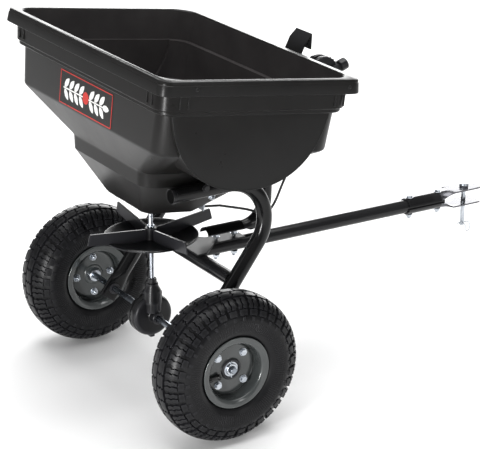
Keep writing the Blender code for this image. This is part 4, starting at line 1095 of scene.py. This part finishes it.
def hopper_ribs():
    """Short stiffening ribs under the rolled rim, and bumps on its face."""
    ribs = [box((x - 0.0016, y, -0.047), (x + 0.0016, y + 0.0026, -0.024))
            for y in (-0.088, -0.073, 0.208, 0.225) for x in (-0.27, 0.27)]
    ribs += [box((x, y - 0.0016, -0.047), (x + 0.0026, y + 0.0016, -0.024))
             for x in (-0.237, -0.222, 0.2196, 0.2346)
             for y in (HOPPER_Y - 0.1805, HOPPER_Y + 0.1805)]
    piece("hopper_rim_ribs", joined(*ribs), "hopper_poly", "frame", HOPPER, bevel=0.0006)
    bumps = []
    for y in (-0.066, 0.226):
        for side in (-1, 1):
            bump = lathe([(0.0, 0.0018), (0.0016, 0.0015), (0.0028, 0.0007), (0.0032, 0.0),
                          (0.0032, -0.0006), (0.0, -0.0006)], 24)
            bumps.append(moved(bump, aimed((side * 0.2822, y, -0.0125), (side * 0.9, y, -0.0125))))
    piece("hopper_rim_bumps", joined(*bumps), "hopper_poly", "frame", HOPPER, smooth=60)


def end_panel_beads():
    """Soft bead where the end panels meet the stepped body."""
    for side in (-1, 1):
        path = [Vector((side * (TROUGH_HALF - 0.0008), y, z))
                for y, z in trough_curve(0.0012, -0.07, 48)]
        bead = sweep(path, round_section(0.0013), Vector((1, 0, 0)), 10)
        piece(f"end_panel_bead_{'right' if side > 0 else 'left'}", bead, "hopper_poly", "frame",
              HOPPER, smooth=60)


def label_parts():
    """Plain decal on the rear band: red frame, dark field, a pale sprig and a red dot."""
    slope = math.degrees(math.atan2(0.0018, 0.0621))
    rear = HOPPER_Y - 0.1677
    at = HOPPER @ shift(0.0005, rear, -0.097) @ spin(90 + slope)
    half_x, half_z = 0.0925, 0.029
    piece("label_backing", box((-half_x, -half_z, -0.0002), (half_x, half_z, 0.00025)),
          "label_field", "frame", at, bevel=0.0002)
    edge = 0.0017
    strips = [((-half_x, -half_z), (half_x, -half_z + edge)),
              ((-half_x, half_z - edge), (half_x, half_z)),
              ((-half_x, -half_z), (-half_x + edge, half_z)),
              ((half_x - edge, -half_z), (half_x, half_z))]
    frame_mesh = joined(*[box((*low, 0.0002), (*high, 0.0004)) for low, high in strips])
    piece("label_frame", frame_mesh, "label_border", "frame", at)
    leaf = [(0.0, 0.0), (0.0045, 0.0042), (0.012, 0.0056), (0.019, 0.0032), (0.023, 0.0),
            (0.019, -0.0032), (0.012, -0.0056), (0.0045, -0.0042)]
    stalk = [prism([(-0.08, -0.0012), (0.062, -0.001), (0.062, 0.001), (-0.08, 0.0012)],
                   0.0002, 0.00045)]
    for index in (0, 1, 2, 3, 5, 6, 7):
        for side in (-1, 1):
            at_leaf = (shift(-0.076 + 0.018 * index, side * 0.0016, 0.0)
                       @ spin(side * 48, "Z"))
            stalk.append(moved(prism(leaf, 0.0002, 0.00045), at_leaf))
    stalk.append(moved(prism(leaf, 0.0002, 0.00045), shift(0.06, 0.0, 0.0)))
    piece("label_sprig", joined(*stalk), "label_motif", "frame", at)
    dot = lathe([(0.0, 0.0002), (0.0105, 0.0002), (0.0105, 0.0005), (0.0, 0.0005)], 40)
    piece("label_dot", moved(dot, shift(0.001, 0.0, 0.0)), "label_border", "frame", at)


def bolts_on_hopper():
    side_y, side_z = 0.048, -0.2118
    for side, name in ((1, "right"), (-1, "left")):
        screw(f"hopper_screw_{name}", f"hopper_bolt_{name}", (side * 0.164, side_y, side_z),
              (side * 0.1274, side_y, side_z), HOPPER, paint="black_paint", stub=0.002)
        slope = Vector((side * 0.729, 0.0, -0.684))
        seat = Vector((side * 0.108, 0.0978, -0.2454))
        nut = joined(washer(0.0066, 0.0028),
                     moved(hexagon(0.0052, 0.0036), shift(0, 0, WASHER_GAUGE)),
                     lathe([(0.0, 0.004), (0.0028, 0.004), (0.0026, 0.0062), (0.0, 0.0064)], 20))
        piece(f"funnel_nut_{name}", nut, "zinc", "frame", HOPPER @ aimed(seat, seat + slope),
              smooth=30)
    front_y, front_z = HOPPER_Y + 0.1669, -0.09
    screw("hopper_front_screw", "hopper_front_bolt", (0, front_y + 0.0115, front_z),
          (0, front_y - 0.0048, front_z), HOPPER, stub=0.002)


# ---- control ----
CONTROL = HOPPER @ shift(*LEVER_PLACE)


def control_hook():
    rim_front = HOPPER_Y + 0.1925
    gauge = 0.0025
    outer = [(rim_front + gauge, -0.0283), (rim_front + gauge, -0.0146), (0.2878, -0.0146),
             (0.2955, 0.0084), (0.3032, 0.0207), (0.3055, -0.0038)]
    inner = [(0.308, -0.0038), (0.3057, 0.0242), (0.2932, 0.0098), (0.2857, -0.0121),
             (rim_front, -0.0121), (rim_front, -0.0283)]
    strap = carved(prism(outer + inner, -0.0023, 0.0477, "X"), [
        ("UNION", box((0.0365, 0.282, -0.03), (0.0803, 0.288, -0.0112))),
        ("UNION", box((0.0753, 0.282, -0.0427), (0.0803, 0.308, -0.0207)))])
    piece("control_hook", strap, "black_paint", "frame", HOPPER, ["control_hook_bracket"],
          bevel=0.0006)


def control_drum():
    drum = lathe([
        (0.0, -0.0185), (0.027, -0.0185), (0.0292, -0.0178), (0.03, -0.016), (0.03, -0.01),
        (0.0296, -0.0094), (0.012, -0.0094), (0.012, -0.0026), (0.0296, -0.0026),
        (0.03, -0.002), (0.03, 0.0035), (0.0292, 0.0053), (0.027, 0.006), (0.0, 0.006)],
        72, "X")
    # the groove is filled but for the stretch that the flow stop turns in
    angles = [math.radians(155 + 220 * k / 40) for k in range(41)]
    outline = ([(0.0298 * math.cos(a), 0.0298 * math.sin(a)) for a in angles]
               + [(0.011 * math.cos(a), 0.011 * math.sin(a)) for a in reversed(angles)])
    filler = prism(outline, -0.0096, -0.0024, "X")
    notches = [moved(box((0.004, 0.0292, -0.0006), (0.0058, 0.0308, 0.0006)), spin(30 + 14 * k))
               for k in range(9)]
    piece("control_drum", joined(drum, filler, *notches), "black_plastic", "frame", CONTROL,
          ["control_housing"], smooth=38)
    nipple = lathe([(0.0, 0.0), (0.005, 0.0), (0.0046, 0.008), (0.003, 0.013), (0.0, 0.013)],
                   24)
    piece("cable_nipple", nipple, "black_plastic", "frame",
          CONTROL @ aimed((-0.005, 0.0, -0.0288), (-0.005, 0.0, -0.1)))


def control_lever():
    turn = spin(26)
    hub = lathe([(0.0034, 0.0065), (0.0125, 0.0065), (0.013, 0.007), (0.013, 0.0105),
                 (0.0122, 0.0112), (0.0034, 0.0112)], 48, "X", closed=True)
    arm = prism([(0.0, -0.0062), (0.0307, -0.0055), (0.0307, 0.0055), (0.0, 0.0062)],
                0.0066, 0.0109, "X")
    spindle = rod((0.0084, 0.0301, 0.0), (0.0084, 0.0403, 0.0), 0.0045, 24)
    lever = joined(hub, *[moved(mesh, turn) for mesh in (arm, spindle)])
    piece("control_arm", lever, "black_plastic", "lever", CONTROL, ["control_lever"], smooth=35)
    profile = [(0.0094, 0.0312), (0.0104, 0.0322), (0.0108, 0.034), (0.0107, 0.043),
               (0.0102, 0.0447), (0.009, 0.0457), (0.006, 0.046)]
    bm = bmesh.new()
    rings = []
    for step in range(120):
        angle = math.tau * step / 120
        dip = 0.0005 * (0.5 + 0.5 * math.cos(angle * 12))
        fluted = [(r - (dip if 0.033 < h < 0.0435 else 0.0), h) for r, h in profile]
        rings.append(turned(bm, fluted, angle))
    skin_round(bm, rings, False)
    bm.faces.new([ring[0] for ring in rings])
    bm.faces.new([ring[-1] for ring in rings])
    grip_at = CONTROL @ turn @ shift(0.0084, 0, 0) @ spin(-90)
    piece("control_grip", mesh_from(bm), "black_plastic", "lever", grip_at, ["lever_grip"],
          smooth=45)


def flow_stop():
    finger = joined(
        lathe([(0.0034, -0.0085), (0.0113, -0.0085), (0.0113, -0.0035), (0.0034, -0.0035)], 40,
              "X", closed=True),
        moved(prism([(-0.004, 0.0), (0.004, 0.0), (0.0036, 0.0352), (0.0028, 0.036),
                     (-0.0028, 0.036), (-0.0036, 0.0352)], -0.0084, -0.0036, "X"), spin(40)))
    piece("flow_stop_finger", finger, "black_plastic", "flow_stop", CONTROL, ["flow_stop"],
          smooth=35)
    screw("lever_pivot_screw", "lever_pivot_bolt", (0.012, 0, 0), (0.0746 - LEVER_PLACE.x, 0, 0),
          CONTROL, head=0.005, stub=0.001)


# ---- nodes kept from the CAD ----
KEPT = {
    "gate_guide_left": "zinc", "gate_guide_right": "zinc", "gate_plate": "zinc",
    "hopper_shaft_bushing": "bushing_nylon", "cable_anchor": "zinc",
    "control_cable": "cable_jacket", "crown_gear": "gear_steel", "crown_gear_pin": "gear_steel",
    "pinion_gear": "gear_steel", "agitator": "zinc",
}


def finish_kept_nodes():
    for name, material in KEPT.items():
        mesh = NODES[name].data
        for index in range(len(mesh.materials)):
            mesh.materials[index] = PAINT[material]


# ---- studio ----
CAMERA_PLACE = (2.683, -1.7772, 1.4815)


def area_light(name, place, target, size, power):
    light = bpy.data.lights.new(name, "AREA")
    light.shape = "RECTANGLE"
    light.size, light.size_y = size
    light.energy = power
    holder = add_object(name, light)
    holder.location = place
    direction = Vector(target) - Vector(place)
    holder.rotation_euler = direction.to_track_quat("-Z", "Y").to_euler()


def studio():
    bm = bmesh.new()
    bmesh.ops.create_grid(bm, x_segments=1, y_segments=1, size=30.0)
    floor = add_object("floor", mesh_from(bm))
    material = bpy.data.materials.new("studio_floor")
    tree, shader = nodes_of(material)
    shader.inputs["Roughness"].default_value = 0.85
    patches = noise_node(tree, 1.5, 4.0, rough=0.55)
    tree.links.new(tint(tree, patches, (grey(0.9), grey(0.93))),
                   shader.inputs["Base Color"])
    floor.data.materials.append(material)
    world = bpy.data.worlds.new("studio")
    world.use_nodes = True
    sky = world.node_tree.nodes["Background"].inputs
    sky["Color"].default_value = (1.0, 1.0, 1.0, 1.0)
    sky["Strength"].default_value = 0.22
    bpy.context.scene.world = world
    bpy.context.scene.view_settings.view_transform = "Standard"
    area_light("overhead", (-0.1, 0.1, 2.7), (-0.1, 0.1, 0.0), (2.8, 2.8), 112.0)
    area_light("far_panel", (-3.0, 2.1, 0.98), (0.0, -0.1, 0.55), (4.6, 1.28), 115.0)
    area_light("corner_strip", (0.96, -1.8, 0.4), (0.27, -0.42, 0.52), (0.16, 0.62), 27.0)
    area_light("left_strip", (-0.6, -3.2, 1.9), (0.1, -0.3, 0.3), (0.5, 1.6), 5.0)
    area_light("right_strip", (3.3, 0.9, 1.1), (0.1, 0.0, 0.3), (0.4, 1.6), 9.0)


def camera():
    """Camera at the reference view; its axes come from azimuth, elevation and a slight roll."""
    azimuth, elevation, roll = math.radians(58.179), math.radians(21.043), math.radians(-0.378)
    back = Vector((math.sin(azimuth) * math.cos(elevation),
                   -math.cos(azimuth) * math.cos(elevation), math.sin(elevation)))
    level = Vector((math.cos(azimuth), math.sin(azimuth), 0.0))
    up = back.cross(level)
    right = level * math.cos(roll) + up * math.sin(roll)
    up = back.cross(right)
    data = bpy.data.cameras.new("camera")
    data.sensor_width = 36.0
    data.lens = 140.61
    obj = add_object("camera", data)
    turn = Matrix((right, up, back)).transposed().to_4x4()
    obj.matrix_world = shift(*CAMERA_PLACE) @ turn
    bpy.context.scene.camera = obj


wheel("drive_wheel", "axle_and_drive_wheel", TRACK / 2, 1, 0.03)
wheel("free_wheel", "free_wheel", -TRACK / 2, -1, 0.11)
axle_parts()
gear_case()
shaft_parts()
frame_parts()
tow_bar()
front_support()
hitch_parts()
hitch_pin_parts()
hopper_shell()
hopper_ribs()
end_panel_beads()
label_parts()
bolts_on_hopper()
control_hook()
control_drum()
control_lever()
flow_stop()
finish_kept_nodes()
studio()
camera()
